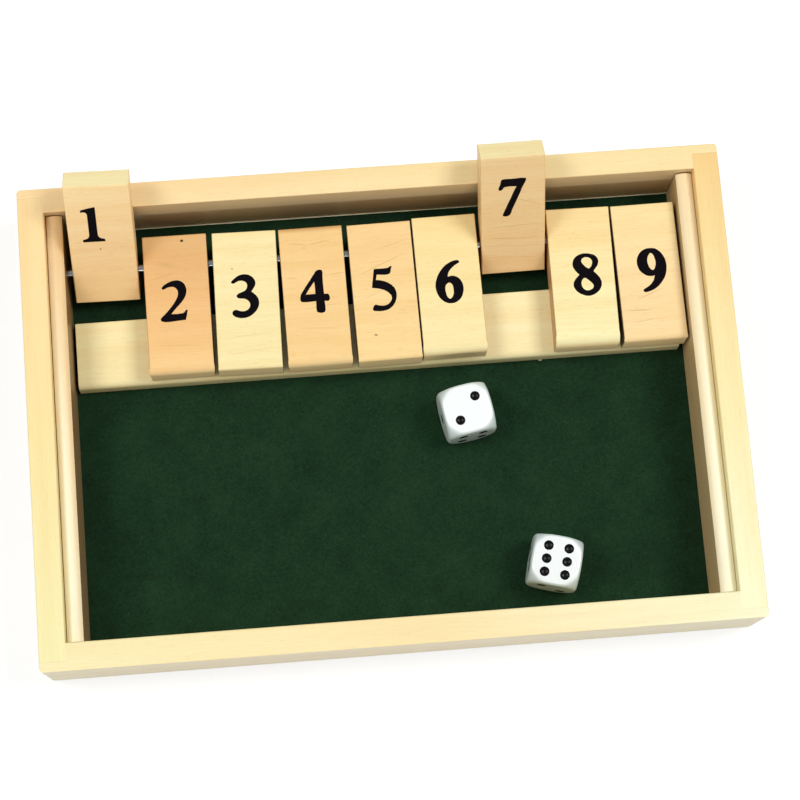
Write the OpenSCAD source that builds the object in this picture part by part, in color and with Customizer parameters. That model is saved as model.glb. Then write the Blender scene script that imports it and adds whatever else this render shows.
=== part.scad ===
// Shut the box game: an open wooden tray with a row of numbered tiles that swing on one steel rod.
// Underside on z = 0, rod along X, players in front at -Y. Two tiles stand, the others lie on their rest.

/* [Frame] */
// Outside width of the frame
box_w = 225; // [190:1:300]
// Outside depth of the frame
box_d = 153.5; // [140:0.5:210]
// Height of the frame rails
box_h = 28.5; // [26:0.5:36]
// Thickness of the side rails
side_rail_t = 8.3; // [6.5:0.1:12]
// Thickness of the front rail
front_rail_t = 8.7; // [6.5:0.1:12]
// Thickness of the back rail
back_rail_t = 8; // [6.5:0.1:12]
// Thickness of the tongues that cover the side rails' ends
tongue_t = 3; // [2:0.1:4.5]
// Radius of the frame's vertical corners
corner_r = 1.5; // [0.8:0.1:2.5]
// Radius sanded on the frame's top edges
rail_edge_r = 0.5; // [0.3:0.1:1]

/* [Base] */
// Thickness of the plywood base board
base_t = 3; // [2:0.1:4]
// Width of the rebate that holds the base board in each rail
rebate_w = 4; // [3:0.1:5]
// Clearance between the base board and the rebate's wall
board_clear = 0.2; // [0.1:0.05:0.5]
// Thickness of the felt
felt_t = 0.8; // [0.5:0.1:1.5]
// Gap between the felt and the rails
felt_clear = 0.4; // [0.2:0.1:0.8]

/* [Rod strips] */
// Thickness of the strips that hold the rod
strip_t = 5.3; // [4:0.1:8]
// Drop from the frame's top to the strips' top
strip_drop = 3.1; // [3:0.1:7]
// Radius of the strips' crowned top
crown_r = 3.5; // [2.8:0.1:5]
// Gap between each end of a strip and the rail
strip_clear = 0.4; // [0.2:0.1:1]

/* [Rest bar] */
// Height of the bar that the tiles rest on
bar_h = 6.5; // [6:0.1:9]
// Depth of the bar, front to back
bar_w = 21.7; // [14:0.1:24]
// Radius of the bar's long front edge
bar_front_r = 2.2; // [1:0.1:3]
// How far the bar's front face stands proud of the tiles' noses
bar_proud = 0.45; // [0:0.05:3]
// Radius of the bar's long rear edge
bar_back_r = 0.5; // [0.3:0.1:2]
// Gap between the bar's left end and the strip
bar_left_clear = 1.2; // [0.3:0.1:3]
// Gap between the bar's right end and the strip
bar_right_clear = 2; // [0.3:0.1:3]
// How far the glued bar is out of square with the row, in degrees
bar_skew = 0.17; // [0:0.01:0.3]

/* [Rod] */
// Diameter of the steel rod
rod_d = 2.5; // [2:0.1:3.5]
// Distance from the rod's axis to the back rail's inner face
rod_back = 16.8; // [14:0.1:20]
// Clearance all round between the rod and the holes in the strips
rod_seat_clear = 0.05; // [0.02:0.01:0.1]
// Gap between each end of the rod and the side rail
rod_end_clear = 0.3; // [0.1:0.1:1]

/* [Tiles] */
// Length of a tile
tile_l = 45.2; // [42:0.1:46]
// Thickness of a tile
tile_t = 9.8; // [8:0.1:10.5]
// Average distance from a tile's square end to its bore's axis
bore_back = 8.6; // [7:0.1:9]
// Clearance all round between the rod and a tile's bore
bore_clear = 0.06; // [0.02:0.01:0.1]
// Average side gap in the row of tiles
tile_gap = 1.26; // [0.9:0.02:1.6]
// Usual radius of a nose's upper edge
nose_r = 2.5; // [1.5:0.1:3.5]
// Radius sanded on a tile's long edges
tile_edge_r = 0.4; // [0.2:0.1:0.8]
// Gap left between a standing tile and the back rail's edge
lean_clear = 0.3; // [0.05:0.05:0.5]

/* [Dice] */
// Edge length of a die
die_s = 16; // [14:0.5:16]
// Radius of a die's edges
die_edge_r = 0.9; // [0.5:0.1:1.5]
// Diameter of the ball that rounds a die's corners
die_ball_d = 22.9; // [22:0.1:24]
// Diameter of a pip
pip_d = 3; // [1.6:0.1:3]
// Depth of a pip
pip_depth = 0.6; // [0.3:0.1:0.8]
// Distance of the outer pips from the middle of a face, across
pip_col = 3.25; // [2.4:0.05:3.3]
// Distance of the outer pips of a six from the middle of its column
pip_row = 4.2; // [3.2:0.05:4.3]
// Distance from the upper die's centre to the right strip
die_1_strip = 73.3; // [60:0.5:80]
// Distance from the upper die's centre to the rest bar
die_1_bar = 17.4; // [14:0.1:20]
// Distance from the lower die's centre to the right strip
die_2_strip = 49.55; // [40:0.05:55]
// Distance from the lower die's centre to the front rail
die_2_rail = 15; // [12:0.1:20]

/* [Hidden] */
$fn = 48;
SOFT = 96;
EPS = 0.01;
TILES = 9;
STANDING = [1, 7];
// How the side gaps are shared along the row's square ends, from the left strip to the right one.
GAP_SHARES = [1.6, 1.7, 1.4, 0.6, 1.2, 0.4, 1.1, 0.8, 0.4, 0.8];
// Sideways drift of each tile's nose against its square end, in average gaps: the bores are a little askew.
NOSE_DRIFT = [0.6, 0, -0.5, 0.3, 0.5, 0.4, -0.4, -0.3, 0.3];
// How far each bore lies from its usual place, in millimetres towards the nose: drilled by hand.
BORE_DRIFT = [0.25, 0.25, -0.1, -0.2, -0.3, 0.6, -0.2, 0.15, 0];
// How much each nose's upper edge is sanded, against the usual radius.
NOSE_WEAR = [0.8, 1.2, 0.5, 1.2, 0.5, 1.5, 0.8, 1.8, 0.7];
// Turn of each die about the vertical.
DIE_1_TURN = 10.3;
DIE_2_TURN = -14.7;
// Faces of each die in the order top, front, left, then their opposites.
DIE_1_FACES = [2, 4, 1];
DIE_2_FACES = [6, 2, 3];

inner_left = -box_w / 2 + side_rail_t;
inner_right = box_w / 2 - side_rail_t;
inner_front = -box_d / 2 + front_rail_t;
inner_back = box_d / 2 - back_rail_t;
inner_w = inner_right - inner_left;
inner_d = inner_back - inner_front;

felt_z = base_t + felt_t;
strip_in = inner_right - strip_t;
crown_h = crown_r - sqrt(crown_r * crown_r - strip_t * strip_t / 4);
strip_h = box_h - strip_drop - felt_z;

bar_z = felt_z + bar_h;
rod_y = inner_back - rod_back;
rod_z = bar_z + tile_t / 2;
bore_r = rod_d / 2 + bore_clear;
nose_y = rod_y + bore_back - tile_l;
bar_front = nose_y - bar_proud;
bar_left = -strip_in + bar_left_clear;
bar_right = strip_in - bar_right_clear;

row_w = 2 * strip_in;
tile_w = (row_w - (TILES + 1) * tile_gap) / TILES;
gap_total = (TILES + 1) * tile_gap;

// A standing tile leans on the rounded inner edge of the back rail, which sets its angle from flat.
edge_y = rod_back + rail_edge_r;
edge_z = box_h - rail_edge_r - rod_z;
lean_reach = tile_t / 2 + rail_edge_r + lean_clear;
lean_deg = 180 - asin(lean_reach / norm([edge_y, edge_z])) - atan2(edge_z, edge_y);

maple = [0.93, 0.82, 0.62];
maple_pale = [0.96, 0.88, 0.69];
maple_warm = [0.92, 0.76, 0.52];
birch_ply = [0.85, 0.72, 0.5];
felt_green = [0.09, 0.2, 0.12];
steel = [0.75, 0.76, 0.78];
die_white = [0.96, 0.97, 0.96];
TILE_COLOURS = [maple, maple_warm, maple_pale, maple_warm, maple_warm, maple_pale, maple, maple_pale, maple];

function sum_to(list, last, i = 0) = i > last ? 0 : list[i] + sum_to(list, last, i + 1);
function row_gap(k) = gap_total * sum_to(GAP_SHARES, k) / sum_to(GAP_SHARES, TILES);
function tile_x(n) = -strip_in + row_gap(n - 1) + (n - 0.5) * tile_w;
function tile_drift(n) = asin(NOSE_DRIFT[n - 1] * tile_gap / tile_l);
function stands(n) = len(search(n, STANDING)) > 0;

// ---- shared shapes ----

// Rectangle from the origin with round corners: radii go round from the origin's corner, anticlockwise.
module round_rect(w, h, r) {
  corners = [[0, 0], [w, 0], [w, h], [0, h]];
  inward = [[1, 1], [-1, 1], [-1, -1], [1, -1]];
  difference() {
    square([w, h]);
    for (i = [0:3])
      if (r[i] > 0)
        translate(corners[i])
          scale_signs(inward[i])
            corner_waste(r[i]);
  }
}

// Mirrors a shape from the first quadrant into the quadrant of the two given signs.
module scale_signs(s) {
  mirror([s[0] < 0 ? 1 : 0, 0]) mirror([0, s[1] < 0 ? 1 : 0]) children();
}

// What is cut off a square corner to leave it round.
module corner_waste(r) {
  difference() {
    translate([-EPS, -EPS]) square(r + EPS);
    translate([r, r]) circle(r);
  }
}

// Length of wood along X, centred, with the given Y-Z section.
module along_x(length) {
  rotate([90, 0, 90]) translate([0, 0, -length / 2]) linear_extrude(length) children();
}

// Length of wood along Y, centred, with the given X-Z section.
module along_y(length) {
  rotate([90, 0, 0]) translate([0, 0, -length / 2]) linear_extrude(length) children();
}

// ---- frame ----

// The whole frame as if made in one piece, with its corners and top edges sanded round.
module frame_blank() {
  e = rail_edge_r;
  c = corner_r;
  difference() {
    intersection() {
      translate([-box_w / 2, -box_d / 2]) linear_extrude(box_h) round_rect(box_w, box_d, [c, c, c, c]);
      along_x(box_w) translate([-box_d / 2, 0]) round_rect(box_d, box_h, [0, 0, e, e]);
      along_y(box_d) translate([-box_w / 2, 0]) round_rect(box_w, box_h, [0, 0, e, e]);
    }
    translate([inner_left, inner_front, -EPS]) cube([inner_w, inner_d, box_h + 2 * EPS]);
    base_rebate();
    inner_edge_rounding();
  }
}

// Rebate round the bottom of the frame's inside.
module base_rebate() {
  translate([inner_left - rebate_w, inner_front - rebate_w, -EPS])
    cube([inner_w + 2 * rebate_w, inner_d + 2 * rebate_w, base_t + EPS]);
}

// What is sanded off the frame's inner top edges.
module inner_edge_rounding() {
  e = rail_edge_r;
  mid_y = (inner_front + inner_back) / 2;
  for (side = [0, 1]) {
    mirror([side, 0, 0])
      translate([inner_right - EPS, mid_y, box_h])
        along_y(inner_d) mirror([0, 1]) corner_waste(e);
    translate([0, side == 0 ? inner_back - EPS : inner_front + EPS, box_h])
      mirror([0, side, 0])
        along_x(inner_w) mirror([0, 1]) corner_waste(e);
  }
}

// Plan of a rail that runs the full width: its tongues reach over the side rails' ends.
module long_rail_plan(t) {
  translate([-box_w / 2, 0]) square([box_w, tongue_t]);
  translate([inner_left, 0]) square([inner_w, t]);
}

module front_rail() {
  color(maple)
    intersection() {
      frame_blank();
      translate([0, -box_d / 2]) linear_extrude(box_h) long_rail_plan(front_rail_t);
    }
}

module back_rail() {
  color(maple)
    intersection() {
      frame_blank();
      translate([0, box_d / 2]) mirror([0, 1, 0]) linear_extrude(box_h) long_rail_plan(back_rail_t);
    }
}

module side_rail(x) {
  color(maple)
    intersection() {
      frame_blank();
      translate([x, -box_d / 2 + tongue_t]) cube([side_rail_t, box_d - 2 * tongue_t, box_h]);
    }
}

// ---- base ----

module base_board() {
  margin = rebate_w - board_clear;
  color(birch_ply)
    translate([inner_left - margin, inner_front - margin])
      cube([inner_w + 2 * margin, inner_d + 2 * margin, base_t]);
}

module felt_lining() {
  color(felt_green)
    translate([inner_left + felt_clear, inner_front + felt_clear, base_t])
      cube([inner_w - 2 * felt_clear, inner_d - 2 * felt_clear, felt_t]);
}

// ---- rod strips and rest bar ----

// Section of a strip: straight sides under a crowned top.
module strip_section() {
  intersection() {
    square([strip_t, strip_h]);
    union() {
      square([strip_t, strip_h - crown_h]);
      translate([strip_t / 2, strip_h - crown_r]) circle(crown_r, $fn = SOFT);
    }
  }
}

module rod_strip(side) {
  length = inner_d - 2 * strip_clear;
  color(maple_pale)
    difference() {
      translate([side < 0 ? inner_left : strip_in, (inner_front + inner_back) / 2, felt_z])
        along_y(length) strip_section();
      rod_bore(rod_d / 2 + rod_seat_clear);
    }
}

module tile_rest_bar() {
  color(maple)
    translate([(bar_left + bar_right) / 2, bar_front, felt_z])
      rotate(bar_skew)
        along_x(bar_right - bar_left) round_rect(bar_w, bar_h, [0, 0, bar_back_r, bar_front_r]);
}

// ---- hinge ----

// Round bar on the hinge axis, longer than anything that it cuts.
module rod_bore(r) {
  translate([-box_w / 2, rod_y, rod_z]) rotate([0, 90, 0]) cylinder(h = box_w, r = r);
}

module hinge_rod() {
  length = inner_w - 2 * rod_end_clear;
  color(steel)
    translate([-length / 2, rod_y, rod_z]) rotate([0, 90, 0]) cylinder(h = length, d = rod_d);
}

// ---- tiles ----

// Tile lying flat, centred across, with its square end at y = 0, its nose towards -Y and its underside at z = 0.
module tile_block(nose) {
  e = tile_edge_r;
  translate([-tile_w / 2, -tile_l])
    intersection() {
      linear_extrude(tile_t) round_rect(tile_w, tile_l, [e, e, e, e]);
      translate([tile_w / 2, 0]) along_x(tile_w) round_rect(tile_l, tile_t, [e, e, e, nose]);
      translate([0, tile_l / 2]) along_y(tile_l) round_rect(tile_w, tile_t, [e, e, e, e]);
    }
}

// Tile n in its place in the row, lying flat on the rest bar, with its bore on the hinge axis.
module flat_tile(n) {
  difference() {
    translate([tile_x(n), rod_y + bore_back + BORE_DRIFT[n - 1], bar_z])
      rotate(tile_drift(n))
        tile_block(nose_r * NOSE_WEAR[n - 1]);
    rod_bore(bore_r);
  }
}

// Tile n turned up and over the rod until it leans on the back rail, if it is one that stands.
module tile(n) {
  color(TILE_COLOURS[n - 1])
    translate([0, rod_y, rod_z])
      rotate([stands(n) ? -lean_deg : 0, 0, 0])
        translate([0, -rod_y, -rod_z])
          flat_tile(n);
}

// ---- dice ----

function pip_places(n) =
  let (a = pip_col, diagonal = [[a, a], [-a, -a]], cross = [[a, -a], [-a, a]])
  n == 1 ? [[0, 0]] :
  n == 2 ? diagonal :
  n == 3 ? concat(diagonal, [[0, 0]]) :
  n == 4 ? concat(diagonal, cross) :
  n == 5 ? concat(diagonal, cross, [[0, 0]]) :
  [for (x = [-a, a], y = [-pip_row, 0, pip_row]) [x, y]];

// Hollows of the face with n pips, on the top of a die that is centred on the origin.
module pips(n) {
  ball_r = (pip_d * pip_d / 4 + pip_depth * pip_depth) / (2 * pip_depth);
  for (p = pip_places(n))
    translate([p[0], p[1], die_s / 2 - pip_depth + ball_r]) sphere(ball_r);
}

module die_blank() {
  e = die_edge_r;
  corners = [e, e, e, e];
  half = die_s / 2;
  intersection() {
    translate([-half, -half, -half]) linear_extrude(die_s) round_rect(die_s, die_s, corners);
    along_x(die_s) translate([-half, -half]) round_rect(die_s, die_s, corners);
    along_y(die_s) translate([-half, -half]) round_rect(die_s, die_s, corners);
    sphere(d = die_ball_d, $fn = SOFT);
  }
}

// Die with the given numbers on its top, front and left, and their opposites, which make seven, behind them.
module die(faces) {
  color(die_white)
    difference() {
      die_blank();
      pips(faces[0]);
      rotate([180, 0, 0]) pips(7 - faces[0]);
      rotate([90, 0, 0]) pips(faces[1]);
      rotate([-90, 0, 0]) pips(7 - faces[1]);
      rotate([0, -90, 0]) pips(faces[2]);
      rotate([0, 90, 0]) pips(7 - faces[2]);
    }
}

// Sets a die down on the felt at the given place.
module on_felt(x, y, turn) {
  translate([x, y, felt_z + die_s / 2]) rotate(turn) children();
}

module die_1() {
  on_felt(strip_in - die_1_strip, bar_front - die_1_bar, DIE_1_TURN) die(DIE_1_FACES);
}

module die_2() {
  on_felt(strip_in - die_2_strip, inner_front + die_2_rail, DIE_2_TURN) die(DIE_2_FACES);
}

front_rail();
back_rail();
side_rail(-box_w / 2);  // left_rail
side_rail(inner_right);  // right_rail
base_board();
felt_lining();
rod_strip(-1);  // left_rod_strip
rod_strip(1);  // right_rod_strip
tile_rest_bar();
hinge_rod();
tile(1);  // tile_1
tile(2);  // tile_2
tile(3);  // tile_3
tile(4);  // tile_4
tile(5);  // tile_5
tile(6);  // tile_6
tile(7);  // tile_7
tile(8);  // tile_8
tile(9);  // tile_9
die_1();
die_2();
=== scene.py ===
"""Shut the box game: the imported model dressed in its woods, felt, steel, ink and plastic."""
import logging
import math
from dataclasses import dataclass, field
from enum import Enum

import bmesh
import bpy
from mathutils import Euler, Matrix, Vector, noise


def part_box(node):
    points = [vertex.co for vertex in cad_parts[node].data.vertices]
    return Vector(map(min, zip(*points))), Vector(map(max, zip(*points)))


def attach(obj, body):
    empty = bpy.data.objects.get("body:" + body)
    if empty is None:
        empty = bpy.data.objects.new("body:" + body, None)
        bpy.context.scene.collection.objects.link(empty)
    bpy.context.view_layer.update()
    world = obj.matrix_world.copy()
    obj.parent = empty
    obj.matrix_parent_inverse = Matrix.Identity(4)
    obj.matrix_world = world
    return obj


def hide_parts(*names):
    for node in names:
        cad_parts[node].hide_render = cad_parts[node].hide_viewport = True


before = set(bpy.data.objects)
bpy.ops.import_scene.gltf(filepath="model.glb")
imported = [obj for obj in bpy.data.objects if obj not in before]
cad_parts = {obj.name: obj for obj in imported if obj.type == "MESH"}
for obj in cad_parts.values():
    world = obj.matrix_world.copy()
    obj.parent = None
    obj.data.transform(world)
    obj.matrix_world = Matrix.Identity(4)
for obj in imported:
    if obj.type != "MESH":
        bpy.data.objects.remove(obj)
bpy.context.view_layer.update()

MM = 0.001
log = logging.getLogger("shut_the_box")


# ---------------------------------------------------------------- colour, nodes and meshes


def linear(hex_code: str) -> tuple[float, float, float, float]:
    """Turns an sRGB colour into the linear one that Blender works in.

    Args:
        hex_code: the colour, such as "#FDE6B0".

    Returns:
        Red, green, blue and an alpha of 1.
    """
    parts = [int(hex_code[i : i + 2], 16) / 255 for i in (1, 3, 5)]
    return (*[c / 12.92 if c <= 0.04045 else ((c + 0.055) / 1.055) ** 2.4 for c in parts], 1.0)


def add_node(tree: bpy.types.NodeTree, kind: str, inputs: dict | None = None, **settings) -> bpy.types.Node:
    """Adds a node to a tree, with its settings and what feeds it.

    Args:
        tree: the material's, world's or geometry's tree.
        kind: the node's class, such as "ShaderNodeMath".
        inputs: by socket name or index, a value, or another node's output to link.
        settings: the node's own properties, set before its sockets are read.

    Returns:
        The new node.
    """
    node = tree.nodes.new(kind)
    for name, value in settings.items():
        setattr(node, name, value)
    for key, value in (inputs or {}).items():
        if isinstance(key, int):
            socket = node.inputs[key]
        else:
            socket = next(s for s in node.inputs if s.name == key and s.enabled)
        if isinstance(value, bpy.types.NodeSocket):
            tree.links.new(value, socket)
        else:
            socket.default_value = value
    return node


def result(node: bpy.types.Node) -> bpy.types.NodeSocket:
    """Gives the first output of a node that is in use."""
    return next(s for s in node.outputs if s.enabled)


def blank_material(name: str) -> tuple[bpy.types.Material, bpy.types.NodeTree, bpy.types.Node]:
    """Makes a material that holds only a Principled shader.

    Args:
        name: the material's name.

    Returns:
        The material, its tree and the shader node.
    """
    material = bpy.data.materials.new(name)
    material.use_nodes = True
    tree = material.node_tree
    tree.nodes.clear()
    shader = add_node(tree, "ShaderNodeBsdfPrincipled")
    add_node(tree, "ShaderNodeOutputMaterial", {"Surface": shader.outputs[0]})
    return material, tree, shader


def mesh_piece(
    name: str, points: list, faces: list, material: bpy.types.Material, smooth: bool = False
) -> bpy.types.Object:
    """Makes a mesh object at the origin.

    Args:
        name: the piece's name.
        points: its corners, in metres, in place.
        faces: its faces, as tuples of corner numbers that run anticlockwise seen from outside.
        material: its finish.
        smooth: whether its faces are shaded as one round surface.

    Returns:
        The new object, linked to the scene.
    """
    mesh = bpy.data.meshes.new(name)
    mesh.from_pydata(points, [], faces)
    mesh.materials.append(material)
    for face in mesh.polygons:
        face.use_smooth = smooth
    mesh.update()
    piece = bpy.data.objects.new(name, mesh)
    bpy.context.scene.collection.objects.link(piece)
    return piece


def settle(piece: bpy.types.Object, body: str) -> bpy.types.Object:
    """Lets a piece ride on its body and reports it.

    Args:
        piece: the finished piece.
        body: the CAD body that carries it.

    Returns:
        The piece.
    """
    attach(piece, body)
    log.info("%s rides on %s: %d faces", piece.name, body, len(piece.data.polygons))
    return piece


def dress(node: str, material: bpy.types.Material) -> None:
    """Gives a CAD node its finish.

    Args:
        node: the node's name.
        material: the finish for all its faces.
    """
    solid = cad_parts[node]
    for slot in solid.material_slots:
        slot.material = material
    log.info("%s is finished in %s", node, material.name)


# ---------------------------------------------------------------- finishes


class Grain(Enum):
    """The axis of the game that a board's fibres follow, as the turn that takes it to X."""

    ACROSS = 0.0
    BACKWARDS = -90.0


class Drift(Enum):
    """The axis of a board along which its tone changes."""

    WITH_GRAIN = "X"
    OVER_GRAIN = "Y"


@dataclass(frozen=True)
class Mark:
    """One spot, knot or saw line, or a painted sheen or band of painted shade: an ellipse in the plane of the
    board's face.

    Its middle and half sizes are in millimetres along and across the board's fibres, and its turn is in
    degrees from them. Soft is the share of its radius over which it fades out.
    """

    along: float
    across: float
    half_length: float
    half_width: float
    turn: float = 0.0
    strength: float = 0.5
    colour: str = "#7A4E24"
    soft: float = 0.6


@dataclass(frozen=True)
class SideTone:
    """Another tone on the side of a board that looks one way: raw, sawn or bare wood, or painted light or
    shade.

    It sets in where the cosine of the surface's angle to that way passes start, and has its whole share
    from full.
    """

    way: tuple[float, float, float]
    tone: str
    share: float = 0.85
    start: float = 0.6
    full: float = 0.95


@dataclass(frozen=True)
class Pattern:
    """One pattern in the wood: the length and width of its grains in millimetres, and how it tints the wood.

    It begins to tint where its noise passes low, and has its whole share from high.
    """

    length: float
    width: float
    detail: float
    low: float
    high: float
    tint: str
    share: float


# How far the noise is moved from one pattern to the next, and how many such steps a board has to itself.
NOISE_STEP = 0.37
STEPS_PER_BOARD = 7


@dataclass(frozen=True)
class Timber:
    """Pale maple, planed, sanded and sealed with thin clear lacquer.

    The eye sees an even cream surface with faint long streaks, short darker ray flecks, slow drifts of
    tone along the board, and a soft low gloss on round edges. The tone goes from start over middle to end
    within the reach, in millimetres on the board's own axis. The fibres also give the bump and the
    unevenness in roughness.
    """

    name: str
    start: str
    middle: str
    end: str
    reach: tuple[float, float]
    drift: Drift = Drift.WITH_GRAIN
    seed: float = 0.0
    figure: float = 0.5
    roughness: float = 0.45
    smoother: float = 0.05
    rougher: float = 0.08
    marks: tuple[Mark, ...] = ()
    sides: tuple[SideTone, ...] = ()
    streaks: Pattern = Pattern(70.0, 4.5, detail=3.0, low=0.35, high=0.68, tint="#F3DDB8", share=0.55)
    fibres: Pattern = Pattern(9.0, 0.5, detail=2.0, low=0.40, high=0.75, tint="#EFD6AE", share=0.34)
    flecks: Pattern = Pattern(2.2, 0.55, detail=1.0, low=0.62, high=0.72, tint="#E3BF90", share=0.30)

    def build(self, to_board: Matrix) -> bpy.types.Material:
        """Makes the material.

        Args:
            to_board: turns the game's coordinates into the board's, with X along its fibres, in metres.

        Returns:
            The finished material.
        """
        material, tree, shader = blank_material(self.name)
        place = add_node(tree, "ShaderNodeTexCoord").outputs["Object"]
        board = result(
            add_node(
                tree,
                "ShaderNodeMapping",
                {
                    "Vector": place,
                    "Location": to_board.to_translation(),
                    "Rotation": to_board.to_euler("XYZ"),
                },
            )
        )
        tone = self._drift(tree, board)
        for side in self.sides:
            tone = self._blend(tree, self._facing(tree, side), tone, linear(side.tone), "MIX")
        patterns = (self.streaks, self.fibres, self.flecks)
        grains = [self._noise(tree, board, pattern, number) for number, pattern in enumerate(patterns, 1)]
        for pattern, grain in zip(patterns, grains):
            amount = add_node(
                tree,
                "ShaderNodeMapRange",
                {
                    "Value": grain,
                    "From Min": pattern.low,
                    "From Max": pattern.high,
                    "To Min": 0.0,
                    "To Max": pattern.share * self.figure,
                },
            )
            tone = self._blend(tree, result(amount), tone, linear(pattern.tint), "MULTIPLY")
        for mark in self.marks:
            tone = self._blend(tree, self._spot(tree, board, mark), tone, linear(mark.colour), "MIX")
        fibres = grains[patterns.index(self.fibres)]
        bump = add_node(
            tree, "ShaderNodeBump", {"Height": fibres, "Strength": 0.18, "Distance": 0.08 * MM}
        )
        rough = add_node(
            tree,
            "ShaderNodeMapRange",
            {
                "Value": fibres,
                "To Min": self.roughness - self.smoother,
                "To Max": self.roughness + self.rougher,
            },
        )
        tree.links.new(tone, shader.inputs["Base Color"])
        tree.links.new(result(bump), shader.inputs["Normal"])
        tree.links.new(result(rough), shader.inputs["Roughness"])
        shader.inputs["IOR"].default_value = 1.5
        shader.inputs["Specular IOR Level"].default_value = 0.3
        return material

    def _drift(self, tree: bpy.types.NodeTree, board: bpy.types.NodeSocket) -> bpy.types.NodeSocket:
        """Gives the slow change of tone from one end of the board to the other.

        Args:
            tree: the material's tree.
            board: the place on the board.

        Returns:
            The tone.
        """
        along = add_node(tree, "ShaderNodeSeparateXYZ", {"Vector": board}).outputs[self.drift.value]
        share = add_node(
            tree,
            "ShaderNodeMapRange",
            {"Value": along, "From Min": self.reach[0] * MM, "From Max": self.reach[1] * MM},
        )
        ramp = add_node(tree, "ShaderNodeValToRGB", {"Fac": result(share)})
        stops = ramp.color_ramp.elements
        stops[0].color, stops[1].color = linear(self.start), linear(self.end)
        stops.new(0.5).color = linear(self.middle)
        return ramp.outputs["Color"]

    def _noise(
        self, tree: bpy.types.NodeTree, board: bpy.types.NodeSocket, pattern: Pattern, number: int
    ) -> bpy.types.NodeSocket:
        """Gives the noise of a pattern.

        Args:
            tree: the material's tree.
            board: the place on the board.
            pattern: the pattern.
            number: its number on the board, which moves it to noise of its own.

        Returns:
            The noise, about 0.5 on average.
        """
        shift = NOISE_STEP * (self.seed * STEPS_PER_BOARD + number)
        stretched = add_node(
            tree,
            "ShaderNodeMapping",
            {
                "Vector": board,
                "Location": (shift, 2 * shift, 3 * shift),
                "Scale": (1 / (pattern.length * MM), 1 / (pattern.width * MM), 1 / (pattern.width * MM)),
            },
        )
        grains = add_node(
            tree,
            "ShaderNodeTexNoise",
            {"Vector": result(stretched), "Scale": 1.0, "Detail": pattern.detail, "Roughness": 0.5},
        )
        return grains.outputs["Fac"]

    @staticmethod
    def _facing(tree: bpy.types.NodeTree, side: SideTone) -> bpy.types.NodeSocket:
        """Gives how much of a side's own tone a place takes, by which way its surface looks.

        Args:
            tree: the material's tree.
            side: the side's tone.

        Returns:
            The share, from 0 to the side's own.
        """
        normal = add_node(tree, "ShaderNodeTexCoord").outputs["Normal"]
        along = add_node(tree, "ShaderNodeVectorMath", {0: normal, 1: side.way}, operation="DOT_PRODUCT")
        return result(
            add_node(
                tree,
                "ShaderNodeMapRange",
                {
                    "Value": along.outputs["Value"],
                    "From Min": side.start,
                    "From Max": side.full,
                    "To Min": 0.0,
                    "To Max": side.share,
                },
            )
        )

    @staticmethod
    def _blend(
        tree: bpy.types.NodeTree,
        amount: bpy.types.NodeSocket,
        under: bpy.types.NodeSocket,
        over: tuple[float, float, float, float],
        how: str,
    ) -> bpy.types.NodeSocket:
        """Lays one colour over another.

        Args:
            tree: the material's tree.
            amount: how much of it is laid on, from 0 to 1.
            under: the colour under it.
            over: the colour, linear.
            how: the name of the way that they mix, such as "MULTIPLY".

        Returns:
            The mixed colour.
        """
        return result(
            add_node(
                tree,
                "ShaderNodeMix",
                {0: amount, 6: under, 7: over},
                data_type="RGBA",
                blend_type=how,
            )
        )

    @staticmethod
    def _spot(
        tree: bpy.types.NodeTree, board: bpy.types.NodeSocket, mark: Mark
    ) -> bpy.types.NodeSocket:
        """Gives how strongly one mark shows.

        Args:
            tree: the material's tree.
            board: the place on the board.
            mark: the mark.

        Returns:
            The share, from 0 to the mark's strength.
        """
        centred = add_node(
            tree,
            "ShaderNodeMapping",
            {
                "Vector": board,
                "Location": (mark.along * MM, mark.across * MM, 0.0),
                "Rotation": (0.0, 0.0, math.radians(mark.turn)),
                "Scale": (mark.half_length * MM, mark.half_width * MM, 1.0),
            },
            vector_type="TEXTURE",
        )
        distance = add_node(
            tree, "ShaderNodeVectorMath", {0: result(centred)}, operation="LENGTH"
        ).outputs["Value"]
        return result(
            add_node(
                tree,
                "ShaderNodeMapRange",
                {
                    "Value": distance,
                    "From Min": 1.0,
                    "From Max": 1.0 - mark.soft,
                    "To Min": 0.0,
                    "To Max": mark.strength,
                },
                interpolation_type="SMOOTHSTEP",
            )
        )


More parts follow.
